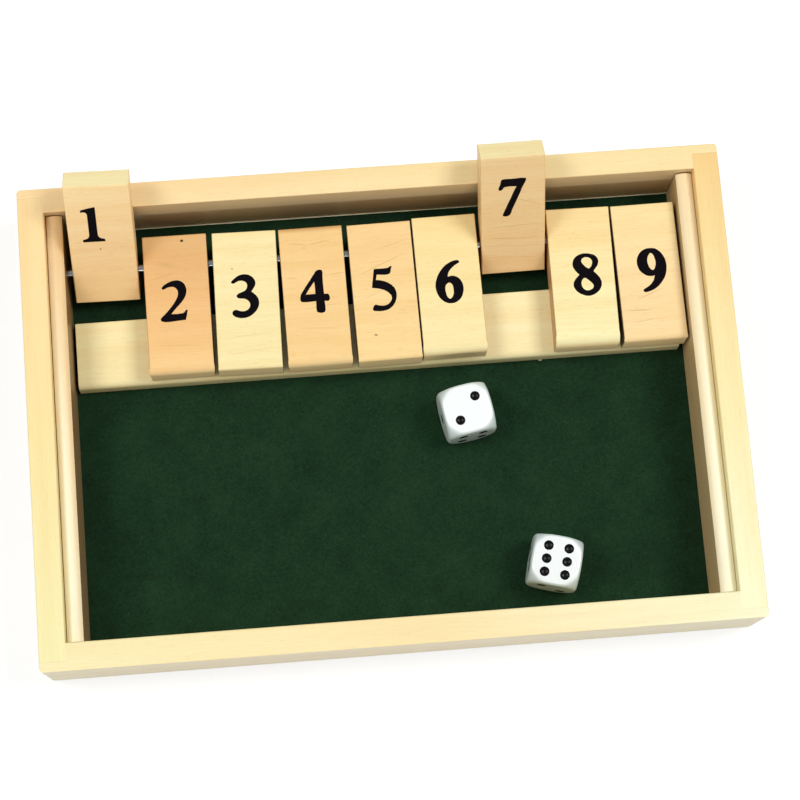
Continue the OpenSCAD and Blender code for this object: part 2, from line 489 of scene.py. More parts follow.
@dataclass(frozen=True)
class WoolFelt:
    """Bottle-green wool felt, pressed and glued down: dead matt, with a slow mottle and short tangled fibres.

    The fibres of real felt are some 0.03 mm thick. They are drawn ten times as coarse, so that they show.
    Lengths are in millimetres: a tangle is a few fibres wide, and the mottle's patches are broader.
    """

    name: str = "Pressed_wool_felt"
    deep: str = "#102513"
    light: str = "#1F3E26"
    fibre_width: float = 0.32
    fibres_in_tangle: int = 3
    mottle: float = 9.0
    mottle_share: float = 0.45

    def build(self) -> bpy.types.Material:
        """Makes the material.

        Returns:
            The finished material.
        """
        material, tree, shader = blank_material(self.name)
        place = add_node(tree, "ShaderNodeTexCoord").outputs["Object"]
        slow = add_node(
            tree,
            "ShaderNodeTexNoise",
            {"Vector": place, "Scale": 1 / (self.mottle * MM), "Detail": 3.0, "Roughness": 0.55},
        ).outputs["Fac"]
        tangle = add_node(
            tree,
            "ShaderNodeTexNoise",
            {
                "Vector": place,
                "Scale": 1 / (self.fibre_width * self.fibres_in_tangle * MM),
                "Detail": 4.0,
                "Roughness": 0.7,
                "Distortion": 1.2,
            },
        ).outputs["Fac"]
        mixed = add_node(
            tree, "ShaderNodeMath", {0: slow, 1: self.mottle_share, 2: tangle}, operation="MULTIPLY_ADD"
        )
        ramp = add_node(
            tree,
            "ShaderNodeMapRange",
            {"Value": result(mixed), "From Min": 0.5, "From Max": 0.95},
        )
        colour = add_node(
            tree,
            "ShaderNodeMix",
            {0: result(ramp), 6: linear(self.deep), 7: linear(self.light)},
            data_type="RGBA",
        )
        bump = add_node(
            tree, "ShaderNodeBump", {"Height": tangle, "Strength": 0.5, "Distance": 0.25 * MM}
        )
        tree.links.new(result(colour), shader.inputs["Base Color"])
        tree.links.new(result(bump), shader.inputs["Normal"])
        shader.inputs["Roughness"].default_value = 0.95
        shader.inputs["Specular IOR Level"].default_value = 0.1
        shader.inputs["Sheen Weight"].default_value = 0.04
        shader.inputs["Sheen Roughness"].default_value = 0.6
        return material


@dataclass(frozen=True)
class BirchPlywood:
    """Raw rotary-cut birch plywood: broad waving figure and a warm straw colour.

    A film of dried glue makes it pale above. Figure and pores are in millimetres along and across the
    sheet.
    """

    name: str = "Birch_plywood"
    pale: str = "#E9CFA0"
    dark: str = "#CFA974"
    upper_side: str = "#FFF8D2"
    figure: tuple[float, float] = (70.0, 14.0)
    pores: tuple[float, float] = (25 / 3, 0.625)

    def build(self) -> bpy.types.Material:
        """Makes the material.

        Returns:
            The finished material.
        """
        material, tree, shader = blank_material(self.name)
        place = add_node(tree, "ShaderNodeTexCoord").outputs["Object"]
        wide, fine = (
            add_node(
                tree,
                "ShaderNodeMapping",
                {"Vector": place, "Scale": (1 / (length * MM), 1 / (width * MM), 1 / (width * MM))},
            )
            for length, width in (self.figure, self.pores)
        )
        figure = add_node(
            tree,
            "ShaderNodeTexNoise",
            {"Vector": result(wide), "Scale": 1.0, "Detail": 4.0, "Distortion": 1.5},
        ).outputs["Fac"]
        pores = add_node(
            tree, "ShaderNodeTexNoise", {"Vector": result(fine), "Scale": 1.0, "Detail": 2.0}
        ).outputs["Fac"]
        mixed = add_node(tree, "ShaderNodeMath", {0: figure, 1: pores}, operation="MULTIPLY")
        share = add_node(
            tree, "ShaderNodeMapRange", {"Value": result(mixed), "From Min": 0.12, "From Max": 0.4}
        )
        colour = add_node(
            tree,
            "ShaderNodeMix",
            {0: result(share), 6: linear(self.dark), 7: linear(self.pale)},
            data_type="RGBA",
        )
        normal = add_node(
            tree, "ShaderNodeSeparateXYZ", {0: add_node(tree, "ShaderNodeTexCoord").outputs["Normal"]}
        )
        glued = add_node(
            tree,
            "ShaderNodeMix",
            {0: normal.outputs["Z"], 6: result(colour), 7: linear(self.upper_side)},
            data_type="RGBA",
        )
        bump = add_node(tree, "ShaderNodeBump", {"Height": pores, "Strength": 0.3, "Distance": 0.1 * MM})
        tree.links.new(result(glued), shader.inputs["Base Color"])
        tree.links.new(result(bump), shader.inputs["Normal"])
        shader.inputs["Roughness"].default_value = 0.7
        return material


@dataclass(frozen=True)
class DrawnSteel:
    """Bright drawn steel rod: a clean mirror glint broken by fine draw lines along it, in millimetres."""

    name: str = "Drawn_steel"
    colour: str = "#B4B6BA"
    line_length: float = 40.0
    line_width: float = 0.12

    def build(self) -> bpy.types.Material:
        """Makes the material.

        Returns:
            The finished material.
        """
        material, tree, shader = blank_material(self.name)
        place = add_node(tree, "ShaderNodeTexCoord").outputs["Object"]
        lines = add_node(
            tree,
            "ShaderNodeMapping",
            {
                "Vector": place,
                "Scale": (1 / (self.line_length * MM), *[1 / (self.line_width * MM)] * 2),
            },
        )
        drawn = add_node(
            tree, "ShaderNodeTexNoise", {"Vector": result(lines), "Scale": 1.0, "Detail": 2.0}
        ).outputs["Fac"]
        rough = add_node(tree, "ShaderNodeMapRange", {"Value": drawn, "To Min": 0.12, "To Max": 0.26})
        bump = add_node(tree, "ShaderNodeBump", {"Height": drawn, "Strength": 0.1, "Distance": 0.01 * MM})
        tree.links.new(result(rough), shader.inputs["Roughness"])
        tree.links.new(result(bump), shader.inputs["Normal"])
        shader.inputs["Base Color"].default_value = linear(self.colour)
        shader.inputs["Metallic"].default_value = 1.0
        return material


@dataclass(frozen=True)
class DiePlastic:
    """White acrylic, moulded and tumbled: bright, a little cool, glossy but for faint tumbling scuffs.

    Its turned edges and its sides are painted a little greyer, as painted shade for the felt's dark bounce:
    from where the cosine of a place's slope falls under flat, and wholly from where it is under steep. A
    scuff's size is in millimetres.
    """

    name: str = "Tumbled_acrylic"
    colour: str = "#FFFFFF"
    shade: str = "#F6FBF9"
    # Painted shade on the turned edges and sides.
    side: str = "#D6E1DD"
    flat: float = 0.97
    steep: float = 0.85
    scuff: float = 1.4

    def build(self) -> bpy.types.Material:
        """Makes the material.

        Returns:
            The finished material.
        """
        material, tree, shader = blank_material(self.name)
        place = add_node(tree, "ShaderNodeTexCoord").outputs["Object"]
        scuffs = add_node(
            tree,
            "ShaderNodeTexNoise",
            {"Vector": place, "Scale": 1 / (self.scuff * MM), "Detail": 6.0, "Roughness": 0.65},
        ).outputs["Fac"]
        colour = add_node(
            tree,
            "ShaderNodeMix",
            {0: scuffs, 6: linear(self.colour), 7: linear(self.shade)},
            data_type="RGBA",
        )
        normal = add_node(
            tree, "ShaderNodeSeparateXYZ", {0: add_node(tree, "ShaderNodeTexCoord").outputs["Normal"]}
        )
        # Painted shade: the steeper the surface, the more of the grey side tone.
        turned = add_node(
            tree,
            "ShaderNodeMapRange",
            {"Value": normal.outputs["Z"], "From Min": self.flat, "From Max": self.steep},
        )
        colour = add_node(
            tree,
            "ShaderNodeMix",
            {0: result(turned), 6: result(colour), 7: linear(self.side)},
            data_type="RGBA",
        )
        rough = add_node(tree, "ShaderNodeMapRange", {"Value": scuffs, "To Min": 0.16, "To Max": 0.34})
        bump = add_node(tree, "ShaderNodeBump", {"Height": scuffs, "Strength": 0.12, "Distance": 0.05 * MM})
        tree.links.new(result(colour), shader.inputs["Base Color"])
        tree.links.new(result(rough), shader.inputs["Roughness"])
        tree.links.new(result(bump), shader.inputs["Normal"])
        shader.inputs["IOR"].default_value = 1.49
        return material


@dataclass(frozen=True)
class Paint:
    """Opaque paint or ink, laid on thin: a dense colour, with blotches that are uneven in tone and gloss.

    A blotch's size is in millimetres.
    """

    name: str
    colour: str
    faded: str
    roughness: float
    blotch: float
    specular: float = 0.5
    uneven: float = 0.08

    def build(self) -> bpy.types.Material:
        """Makes the material.

        Returns:
            The finished material.
        """
        material, tree, shader = blank_material(self.name)
        place = add_node(tree, "ShaderNodeTexCoord").outputs["Object"]
        blotches = add_node(
            tree,
            "ShaderNodeTexNoise",
            {"Vector": place, "Scale": 1 / (self.blotch * MM), "Detail": 4.0, "Roughness": 0.6},
        ).outputs["Fac"]
        colour = add_node(
            tree,
            "ShaderNodeMix",
            {0: blotches, 6: linear(self.colour), 7: linear(self.faded)},
            data_type="RGBA",
        )
        rough = add_node(
            tree,
            "ShaderNodeMapRange",
            {
                "Value": blotches,
                "To Min": self.roughness - self.uneven,
                "To Max": self.roughness + self.uneven,
            },
        )
        bump = add_node(tree, "ShaderNodeBump", {"Height": blotches, "Strength": 0.1, "Distance": 0.03 * MM})
        tree.links.new(result(colour), shader.inputs["Base Color"])
        tree.links.new(result(rough), shader.inputs["Roughness"])
        tree.links.new(result(bump), shader.inputs["Normal"])
        shader.inputs["Specular IOR Level"].default_value = self.specular
        return material


# Stamped ink: near black with a faint violet cast, matt on the lacquer.
STAMP_INK = Paint("Stamped_ink", "#09060B", "#130D13", roughness=0.7, blotch=1.2, specular=0.04)
# Enamel in the pips: black, pooled and glossy.
PIP_ENAMEL = Paint("Pip_enamel", "#050507", "#0B0B0E", roughness=0.25, blotch=0.8, specular=0.2)
# Dried white wood glue: a yellowish grey bead with a half gloss.
DRIED_GLUE = Paint("Dried_glue", "#C9C6AA", "#B5B092", roughness=0.4, blotch=0.5)


# ---------------------------------------------------------------- sizes shared with the solids


@dataclass(frozen=True)
class Sizes:
    """The named values of the game's solids that its dress needs, in millimetres and degrees."""

    box_w: float = 225.0
    box_d: float = 153.5
    box_h: float = 28.5
    side_rail_t: float = 8.3
    front_rail_t: float = 8.7
    back_rail_t: float = 8.0
    tongue_t: float = 3.0
    rail_edge_r: float = 0.5
    base_t: float = 3.0
    felt_t: float = 0.8
    strip_t: float = 5.3
    bar_h: float = 6.5
    bar_proud: float = 0.45
    bar_skew: float = 0.17
    rod_back: float = 16.8
    tile_l: float = 45.2
    tile_t: float = 9.8
    bore_back: float = 8.6
    tile_gap: float = 1.26
    lean_clear: float = 0.3
    die_s: float = 16.0
    pip_d: float = 3.1
    pip_depth: float = 0.6
    pip_col: float = 3.25
    pip_row: float = 4.2
    die_1_strip: float = 73.3
    die_1_bar: float = 17.4
    die_2_strip: float = 49.55
    die_2_rail: float = 15.0

    @property
    def inner_back(self) -> float:
        """Y of the back rail's inner face."""
        return self.box_d / 2 - self.back_rail_t

    @property
    def inner_front(self) -> float:
        """Y of the front rail's inner face."""
        return -self.box_d / 2 + self.front_rail_t

    @property
    def strip_in(self) -> float:
        """X of the right strip's inner face."""
        return self.box_w / 2 - self.side_rail_t - self.strip_t

    @property
    def felt_z(self) -> float:
        """Height of the felt's top."""
        return self.base_t + self.felt_t

    @property
    def bar_z(self) -> float:
        """Height of the rest bar's top."""
        return self.felt_z + self.bar_h

    @property
    def rod_y(self) -> float:
        """Y of the hinge axis."""
        return self.inner_back - self.rod_back

    @property
    def rod_z(self) -> float:
        """Height of the hinge axis."""
        return self.bar_z + self.tile_t / 2

    @property
    def bar_front(self) -> float:
        """Y of the rest bar's front face, at its middle."""
        return self.rod_y + self.bore_back - self.tile_l - self.bar_proud

    @property
    def lean(self) -> float:
        """Works out how far a standing tile leans, against the back rail's rounded edge.

        Returns:
            Its angle from flat, in degrees.
        """
        edge_y = self.rod_back + self.rail_edge_r
        edge_z = self.box_h - self.rail_edge_r - self.rod_z
        reach = self.tile_t / 2 + self.rail_edge_r + self.lean_clear
        return 180 - math.degrees(
            math.asin(reach / math.hypot(edge_y, edge_z)) + math.atan2(edge_z, edge_y)
        )


SIZES = Sizes()


def board_frame(grain: Grain) -> Matrix:
    """Gives what turns the game's coordinates into those of a board that lies along one of its axes."""
    return Matrix.Rotation(math.radians(grain.value), 4, "Z")


# ---------------------------------------------------------------- frame


@dataclass
class GlueBead:
    """The drop of glue that came out from under the rest bar's front face: a lumpy half egg.

    Its place, length, depth and height are in millimetres. Lump is how much its width varies as it goes
    round, tip is its width at the top, and proud is how far its middle is in front of the bar's face, as
    shares of its size.
    """

    sizes: Sizes = SIZES
    x: float = 51.8
    length: float = 1.3
    depth: float = 0.6
    height: float = 0.45
    lump: float = 0.12
    lumps_round: float = 3.0
    proud: float = 0.35
    tip: float = 0.02
    rings: int = 5
    spokes: int = 14

    def build(self) -> None:
        """Makes the bead."""
        points = [
            self._point(ring / (self.rings - 1), 2 * math.pi * spoke / self.spokes)
            for ring in range(self.rings)
            for spoke in range(self.spokes)
        ]
        faces = []
        for ring in range(self.rings - 1):
            for spoke in range(self.spokes):
                after = (spoke + 1) % self.spokes
                low, high = ring * self.spokes, (ring + 1) * self.spokes
                faces.append((low + spoke, low + after, high + after, high + spoke))
        faces.append(tuple(range((self.rings - 1) * self.spokes, self.rings * self.spokes)))
        faces.append(tuple(reversed(range(self.spokes))))
        bead = mesh_piece("glue_bead", points, faces, DRIED_GLUE.build(), smooth=True)
        settle(bead, "box")

    def _point(self, climb: float, angle: float) -> Vector:
        """Gives a point of the bead.

        Args:
            climb: how far up it is, from 0 on the felt to 1 at the tip.
            angle: its way round.

        Returns:
            The point, in metres.
        """
        s = self.sizes
        lift = math.sin(math.pi / 2 * climb)
        wide = math.cos(math.pi / 2 * climb) if climb < 1 else self.tip
        way = Vector((self.lumps_round * math.cos(angle), self.lumps_round * math.sin(angle), lift))
        lump = 1 + self.lump * noise.noise(way)
        bar_face = s.bar_front + self.x * math.tan(math.radians(s.bar_skew))
        return MM * Vector(
            (
                self.x + self.length / 2 * wide * lump * math.cos(angle),
                bar_face - self.proud * self.depth + self.depth / 2 * wide * lump * math.sin(angle),
                s.felt_z + self.height * lift * lump,
            )
        )


# Half length or half width of a mark that runs over a whole board, in millimetres.
WHOLE_BOARD = 400.0


@dataclass
class Tray:
    """The frame, its base, the strips for the rod, the rest bar and the rod."""

    sizes: Sizes = SIZES

    def build(self) -> None:
        """Dresses the solids of the tray and adds its one drop of glue."""
        s = self.sizes
        half_w, half_d = s.box_w / 2, s.box_d / 2
        joint = half_d - s.tongue_t
        joints = tuple(
            Mark(y, 0.0, 0.16, WHOLE_BOARD, strength=0.35, colour="#A9793F", soft=0.9)
            for y in (-joint, joint)
        )
        left, right, front, back = (-1, 0, 0), (1, 0, 0), (0, -1, 0), (0, 1, 0)
        # Painted sheen, light and shade along the rod strips; the right groove's painted shade is lighter.
        left_sheen_and_shade = self._strip_sheen_and_shade(side=1, groove_shade_strength=0.9)
        right_sheen_and_shade = self._strip_sheen_and_shade(side=-1, groove_shade_strength=0.54)
        woods = {
            "left_rail": Timber(
                "Maple_left_rail", "#FBF2B6", "#FEE8A8", "#FFDEA4", (-half_d, half_d), seed=1,
                figure=0.35, marks=joints, sides=(SideTone(left, "#F0E2BE"),),
            ),
            "right_rail": Timber(
                "Maple_right_rail", "#FEFCD2", "#FDEDB2", "#F9D28C", (-half_d, half_d), seed=2,
                figure=0.35, marks=joints, sides=(SideTone(right, "#F0E2BE"),),
            ),
            # Painted shade: a darker side tone on the strip's inner wall, and a tone that darkens towards the
            # rear end as painted shadow of the standing tile 1.
            "left_rod_strip": Timber(
                "Maple_left_strip", "#FFEFC6", "#FDE2B2", "#EDCB96", (-half_d, half_d), seed=3,
                roughness=0.36, marks=left_sheen_and_shade, sides=(SideTone(right, "#8A6C42", share=0.9, start=0.8),),
            ),
            # Painted shade: a darker side tone on the strip's inner wall, lighter than the left strip's.
            "right_rod_strip": Timber(
                "Maple_right_strip", "#FFF8D8", "#FEEFC8", "#FBE2B4", (-half_d, half_d), seed=4,
                roughness=0.36, marks=right_sheen_and_shade, sides=(SideTone(left, "#CDB07C", share=0.9, start=0.8),),
            ),
            # A greyer tone on the outer front face: partly a sawn side, and partly painted shade against the
            # front card's light.
            "front_rail": Timber(
                "Maple_front_rail", "#FDEFBA", "#FEE8B2", "#FDFAD2", (-half_w, half_w), seed=5,
                figure=0.4, sides=(SideTone(front, "#D8CCB1"),),
            ),
            # Painted shade: a darker side tone on the inner wall, which faces the front.
            "back_rail": Timber(
                "Maple_back_rail", "#FFDEA8", "#FEE4AC", "#FCE7AE", (-half_w, half_w), seed=6,
                figure=0.4, sides=(SideTone(back, "#F0E2BE"), SideTone(front, "#DCC49A", share=0.95)),
            ),
            "tile_rest_bar": Timber(
                "Maple_rest_bar", "#FFF1B9", "#FFEFB6", "#FFF6C6", (-half_w, half_w), seed=7
            ),
        }
        for node, wood in woods.items():
            lies_across = node in ("front_rail", "back_rail", "tile_rest_bar")
            dress(node, wood.build(board_frame(Grain.ACROSS if lies_across else Grain.BACKWARDS)))
        dress("base_board", BirchPlywood().build())
        dress("hinge_rod", DrawnSteel().build())
        GlueBead(s).build()

    def _strip_sheen_and_shade(self, side: int, groove_shade_strength: float) -> tuple[Mark, ...]:
        """Gives the painted sheen on a rod strip's crown, the painted light along its outer edge and the
        painted shade in the groove by the rail.

        Args:
            side: 1 for the left strip and -1 for the right one, because across their boards is to the left.
            groove_shade_strength: how dark the painted shade in the groove is.

        Returns:
            The three marks.
        """
        s = self.sizes
        groove = s.box_w / 2 - s.side_rail_t
        crown = groove - s.strip_t / 2
        edge_half = 0.9
        return (
            # Painted sheen on the crown, fading towards the rear end.
            Mark(-40.0, side * crown, 110.0, 1.9, strength=0.75, colour="#FFFFE2", soft=1.0),
            # Painted light along the outer edge, against the shade that the rail casts there.
            Mark(
                0.0, side * (groove - edge_half), WHOLE_BOARD, edge_half,
                strength=0.6, colour="#FFFBE4", soft=0.8,
            ),
            # Painted shade in the groove by the rail.
            Mark(0.0, side * groove, WHOLE_BOARD, 0.4, strength=groove_shade_strength, colour="#5A3C1C", soft=0.55),
        )


@dataclass
class FeltSheet:
    """The sheet of felt that lines the tray: flat, with a softly uneven top and a cut edge that rounds over.

    Its sizes are in millimetres. The ripple's hollows are where its noise is under ripple_top.
    """

    cell: float = 1.6
    edge_round: float = 0.35
    ripple: float = 0.05
    ripple_length: float = 5.0
    ripple_top: float = 0.6

    def build(self) -> None:
        """Makes the sheet in place of its solid."""
        low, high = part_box("felt_lining")
        width, depth = high.x - low.x, high.y - low.y
        columns, rows = round(width / (self.cell * MM)), round(depth / (self.cell * MM))
        points, faces = [], []
        for row in range(rows + 1):
            for column in range(columns + 1):
                x, y = low.x + width * column / columns, low.y + depth * row / rows
                at_rim = column in (0, columns) or row in (0, rows)
                wave = noise.noise(Vector((x, y, 0.0)) / (self.ripple_length * MM))
                drop = self.edge_round if at_rim else self.ripple * (self.ripple_top - wave) / 2
                points.append((x, y, high.z - max(drop, 0.0) * MM))
        stride = columns + 1
        for row in range(rows):
            for column in range(columns):
                a = row * stride + column
                faces.append((a, a + 1, a + 1 + stride, a + stride))
        rim = list(range(stride))
        rim += [r * stride + columns for r in range(1, rows + 1)]
        rim += [rows * stride + c for c in range(columns - 1, -1, -1)]
        rim += [r * stride for r in range(rows - 1, 0, -1)]
        under = len(points)
        points += [(points[i][0], points[i][1], low.z) for i in rim]
        for i in range(len(rim)):
            j = (i + 1) % len(rim)
            faces.append((rim[i], under + i, under + j, rim[j]))
        faces.append(tuple(under + i for i in reversed(range(len(rim)))))
        sheet = mesh_piece("felt_sheet", points, faces, WoolFelt().build())
        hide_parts("felt_lining")
        settle(sheet, "box")


# ---------------------------------------------------------------- numerals

SHARP = True
# Straight pieces between two points of a numeral's curves.
CURVE_STEPS = 5


@dataclass(frozen=True)
class Numeral:
    """A numeral in a bold pen-drawn roman hand: closed outlines in millimetres from its middle.

    A third value of SHARP in a point makes it a corner, and the others are joined in smooth curves.
    """

    outlines: tuple[tuple[tuple, ...], ...]

    def flat_mesh(self, name: str) -> bpy.types.Mesh:
        """Fills the outlines.

        Args:
            name: the mesh's name.

        Returns:
            A flat mesh at the origin, in millimetres, facing up.
        """
        curve = bpy.data.curves.new(name, "CURVE")
        curve.dimensions, curve.fill_mode, curve.resolution_u = "2D", "BOTH", CURVE_STEPS
        for outline in self.outlines:
            spline = curve.splines.new("BEZIER")
            spline.bezier_points.add(len(outline) - 1)
            spline.use_cyclic_u = True
            for knot, point in zip(spline.bezier_points, outline):
                knot.co = (point[0], point[1], 0.0)
                kind = "VECTOR" if len(point) > 2 else "AUTO"
                knot.handle_left_type = knot.handle_right_type = kind
        drawn = bpy.data.objects.new(name, curve)
        bpy.context.scene.collection.objects.link(drawn)
        bpy.context.view_layer.update()
        mesh = bpy.data.meshes.new_from_object(drawn.evaluated_get(bpy.context.evaluated_depsgraph_get()))
        bpy.data.objects.remove(drawn)
        bpy.data.curves.remove(curve)
        return mesh


NUMERALS = {
    1: Numeral((
        (
            (-3.5, 5.95, SHARP), (-1.6, 6.45), (1.1, 7.0, SHARP), (1.2, 6.6, SHARP), (1.2, -3.4, SHARP),
            (1.35, -4.2), (1.8, -4.85), (3.3, -5.4, SHARP), (3.4, -6.35, SHARP), (-3.65, -6.35, SHARP),
            (-3.65, -5.45, SHARP), (-2.3, -5.0), (-1.7, -4.4), (-1.5, -3.4, SHARP), (-1.5, 3.4, SHARP),
            (-1.6, 4.5), (-2.2, 5.1), (-3.45, 5.1, SHARP),
        ),
    )),
    2: Numeral((
        (
            (-3.9, 4.75), (-3.45, 5.35), (-2.5, 6.0), (-1.0, 6.7), (0.5, 7.0), (2.0, 6.75), (3.2, 5.8),
            (3.85, 4.4), (3.9, 3.1), (3.55, 1.8), (2.8, 0.5), (1.6, -0.9), (0.2, -2.3), (-1.35, -4.0, SHARP),
            (1.8, -4.0), (2.5, -3.85), (3.1, -3.35), (3.45, -2.95), (3.85, -2.9), (3.8, -3.7),
            (3.2, -6.2, SHARP), (-4.4, -6.25), (-4.8, -5.65), (-4.5, -5.05), (-3.5, -4.1), (-2.2, -2.8),
            (-0.9, -1.3), (0.2, 0.2), (0.95, 1.6), (1.2, 2.9), (0.9, 4.0), (0.1, 4.75), (-1.0, 4.95),
            (-2.2, 4.7), (-3.2, 4.25), (-3.75, 4.3),
        ),
    )),
    3: Numeral((
        (
            (-4.35, 5.0), (-4.2, 4.55), (-3.75, 4.4), (-3.2, 4.55), (-2.5, 4.95), (-1.4, 5.25),
            (-0.3, 5.05), (0.5, 4.4), (0.75, 3.6), (0.5, 2.6), (-0.1, 1.9), (-1.2, 1.4), (-2.3, 0.95),
            (-2.8, 0.3), (-2.5, -0.35), (-1.8, -0.6), (-0.6, -0.7), (0.4, -1.1), (1.2, -2.0), (1.4, -3.0),
            (0.9, -4.1), (-0.1, -4.7), (-1.3, -4.85), (-2.3, -4.6), (-3.0, -4.3), (-3.7, -4.35),
            (-4.4, -5.1), (-4.2, -5.95), (-3.4, -6.6), (-2.2, -7.0), (-1.0, -7.1), (0.6, -6.8),
            (2.2, -5.9), (3.5, -4.5), (4.2, -2.9), (4.2, -1.4), (3.7, -0.2), (2.8, 0.8),
            (1.95, 1.5, SHARP), (2.7, 2.5), (3.3, 3.6), (3.4, 4.6), (2.9, 5.8), (2.0, 6.7), (0.8, 7.2),
            (-0.6, 7.3), (-2.0, 6.9), (-3.2, 6.1), (-4.0, 5.4),
        ),
    )),
    4: Numeral((
        (
            (0.95, 6.9), (1.5, 7.05), (2.35, 7.0), (2.75, 6.5), (2.7, 5.0), (2.7, 0.8), (2.75, -1.05, SHARP),
            (4.0, -1.1), (4.35, -1.5), (4.4, -2.9), (4.15, -3.3), (2.75, -3.3, SHARP), (2.75, -6.5),
            (2.55, -6.9), (0.3, -6.9), (0.05, -6.6), (0.0, -3.25, SHARP), (-4.4, -3.2), (-4.75, -3.0),
            (-4.8, -1.1), (-4.6, -0.6), (-3.9, 0.45), (-2.5, 2.4), (-1.2, 4.1), (0.0, 5.8),
        ),
        (
            (-0.1, 3.25, SHARP), (-0.05, 2.2), (-0.05, -0.8, SHARP), (-3.1, -0.8, SHARP), (-1.7, 1.2),
        ),
    )),
    5: Numeral((
        (
            (-2.95, 6.9, SHARP), (-2.4, 7.0, SHARP), (1.2, 7.0), (1.85, 7.15), (2.3, 7.5), (2.9, 7.5, SHARP),
            (2.55, 6.5), (2.35, 5.6), (1.95, 5.05), (-2.15, 5.05, SHARP), (-2.55, 3.3, SHARP), (-1.2, 3.1),
            (0.4, 2.55), (1.9, 1.6), (3.0, 0.5), (3.5, -0.7), (3.65, -1.8), (3.5, -3.1), (2.8, -4.8),
            (1.6, -6.1), (0.0, -6.85), (-1.6, -7.05), (-3.2, -6.95), (-4.25, -6.65), (-4.35, -6.1),
            (-4.05, -5.4), (-3.65, -4.9), (-3.1, -4.85), (-2.4, -5.1), (-1.2, -5.3), (0.2, -5.15),
            (1.2, -4.5), (1.9, -3.5), (2.0, -2.5), (1.5, -1.6), (0.4, -0.6), (-1.0, 0.1), (-2.4, 0.5),
            (-4.05, 0.8, SHARP),
        ),
    )),
    6: Numeral((
        (
            (3.5, 6.6), (3.2, 7.0), (2.5, 7.15), (1.6, 7.0), (0.0, 6.4), (-1.6, 5.3), (-3.0, 3.7),
            (-4.1, 1.8), (-4.75, -0.2), (-4.8, -2.0), (-4.3, -3.9), (-3.2, -5.6), (-1.7, -6.7),
            (-0.2, -7.0), (1.4, -6.7), (2.9, -5.6), (3.8, -3.9), (4.1, -2.0), (3.7, -0.1), (2.8, 1.2),
            (1.6, 1.9), (0.4, 2.05), (-0.6, 1.85, SHARP), (-0.4, 2.9), (0.1, 3.8), (0.9, 4.6), (1.9, 5.4),
            (2.8, 5.95), (3.4, 6.25),
        ),
        (
            (-0.3, -0.15), (0.5, -0.75), (0.85, -2.4), (0.7, -4.0), (0.15, -5.05), (-0.5, -5.45),
            (-1.2, -4.9), (-1.65, -3.4), (-1.75, -2.0), (-1.4, -0.8),
        ),
    )),
    7: Numeral((
        (
            (-3.4, 7.15), (-3.05, 7.3), (0.0, 7.35), (3.9, 7.35), (4.3, 7.1), (4.3, 6.5), (4.0, 5.7),
            (3.2, 4.0), (2.5, 2.0), (1.7, 0.0), (0.9, -2.0), (0.0, -4.2), (-0.8, -6.4), (-1.4, -6.9),
            (-2.8, -6.95), (-3.15, -6.6), (-3.0, -6.0), (-2.2, -4.0), (-1.4, -2.0), (-0.55, 0.0),
            (0.2, 2.0), (1.3, 4.35, SHARP), (-1.9, 4.4), (-2.6, 4.2), (-3.1, 3.6), (-3.5, 3.2),
            (-4.15, 3.1), (-4.45, 3.5), (-4.3, 4.3), (-3.9, 5.4),
        ),
    )),
    8: Numeral((
        (
            (0.0, 7.2), (1.5, 6.95), (2.9, 6.3), (3.7, 5.2), (3.8, 4.2), (3.4, 3.0), (2.7, 2.1),
            (2.0, 1.15, SHARP), (3.3, -0.3), (4.15, -1.8), (4.3, -3.2), (3.8, -4.7), (2.7, -5.9),
            (1.2, -6.7), (-0.3, -6.95), (-2.0, -6.5), (-3.6, -5.5), (-4.5, -4.3), (-4.8, -3.1),
            (-4.4, -1.7), (-3.5, -0.6), (-2.65, 0.2, SHARP), (-4.1, 2.0), (-4.55, 3.3), (-4.45, 4.5),
            (-3.9, 5.7), (-2.8, 6.6), (-1.5, 7.1),
        ),
        (
            (0.0, 5.9), (1.2, 5.5), (1.8, 4.5), (1.6, 3.3), (1.05, 2.45), (0.5, 2.15), (-0.15, 2.5),
            (-1.1, 3.5), (-1.65, 4.5), (-1.4, 5.4), (-0.8, 5.8),
        ),
        (
            (-0.9, -0.95), (-0.2, -1.4), (0.9, -2.4), (1.6, -3.5), (1.4, -4.4), (0.5, -5.0), (-0.4, -5.1),
            (-1.4, -4.7), (-2.05, -3.7), (-2.2, -2.6), (-1.9, -1.6), (-1.4, -1.1),
        ),
    )),
    9: Numeral((
        (
            (-0.2, 7.5), (1.3, 7.3), (2.7, 6.4), (3.8, 5.0), (4.5, 3.2), (4.7, 1.4), (4.5, -0.2),
            (4.0, -1.9), (3.1, -3.4), (1.9, -4.8), (0.5, -5.9), (-1.0, -6.6), (-2.2, -6.95),
            (-3.1, -7.0), (-3.65, -6.5), (-3.4, -6.0), (-2.5, -5.5), (-1.4, -4.8), (-0.5, -3.9),
            (0.1, -3.0), (0.5, -1.75, SHARP), (-0.4, -1.85), (-1.6, -1.7), (-2.9, -1.0), (-4.0, 0.1),
            (-4.6, 1.5), (-4.8, 3.0), (-4.5, 4.5), (-3.8, 5.8), (-2.7, 6.8), (-1.5, 7.35),
        ),
        (
            (0.0, 5.8), (0.7, 5.2), (1.1, 3.9), (1.25, 2.7), (1.0, 1.3), (0.55, 0.4), (0.1, 0.15),
            (-0.5, 0.5), (-1.1, 1.6), (-1.35, 2.9), (-1.2, 4.3), (-0.7, 5.3),
        ),
    )),
}


# ---------------------------------------------------------------- tiles


class Side(Enum):
    """The two broad faces of a tile, by how it lies when flat."""

    UPPER = "upper"
    UNDER = "under"


class TileWood(Enum):
    """The record's slots for the tiles' woods."""

    PLAIN = "tile_wood"
    WARM = "tile_wood_warm"
    PALE = "tile_wood_pale"


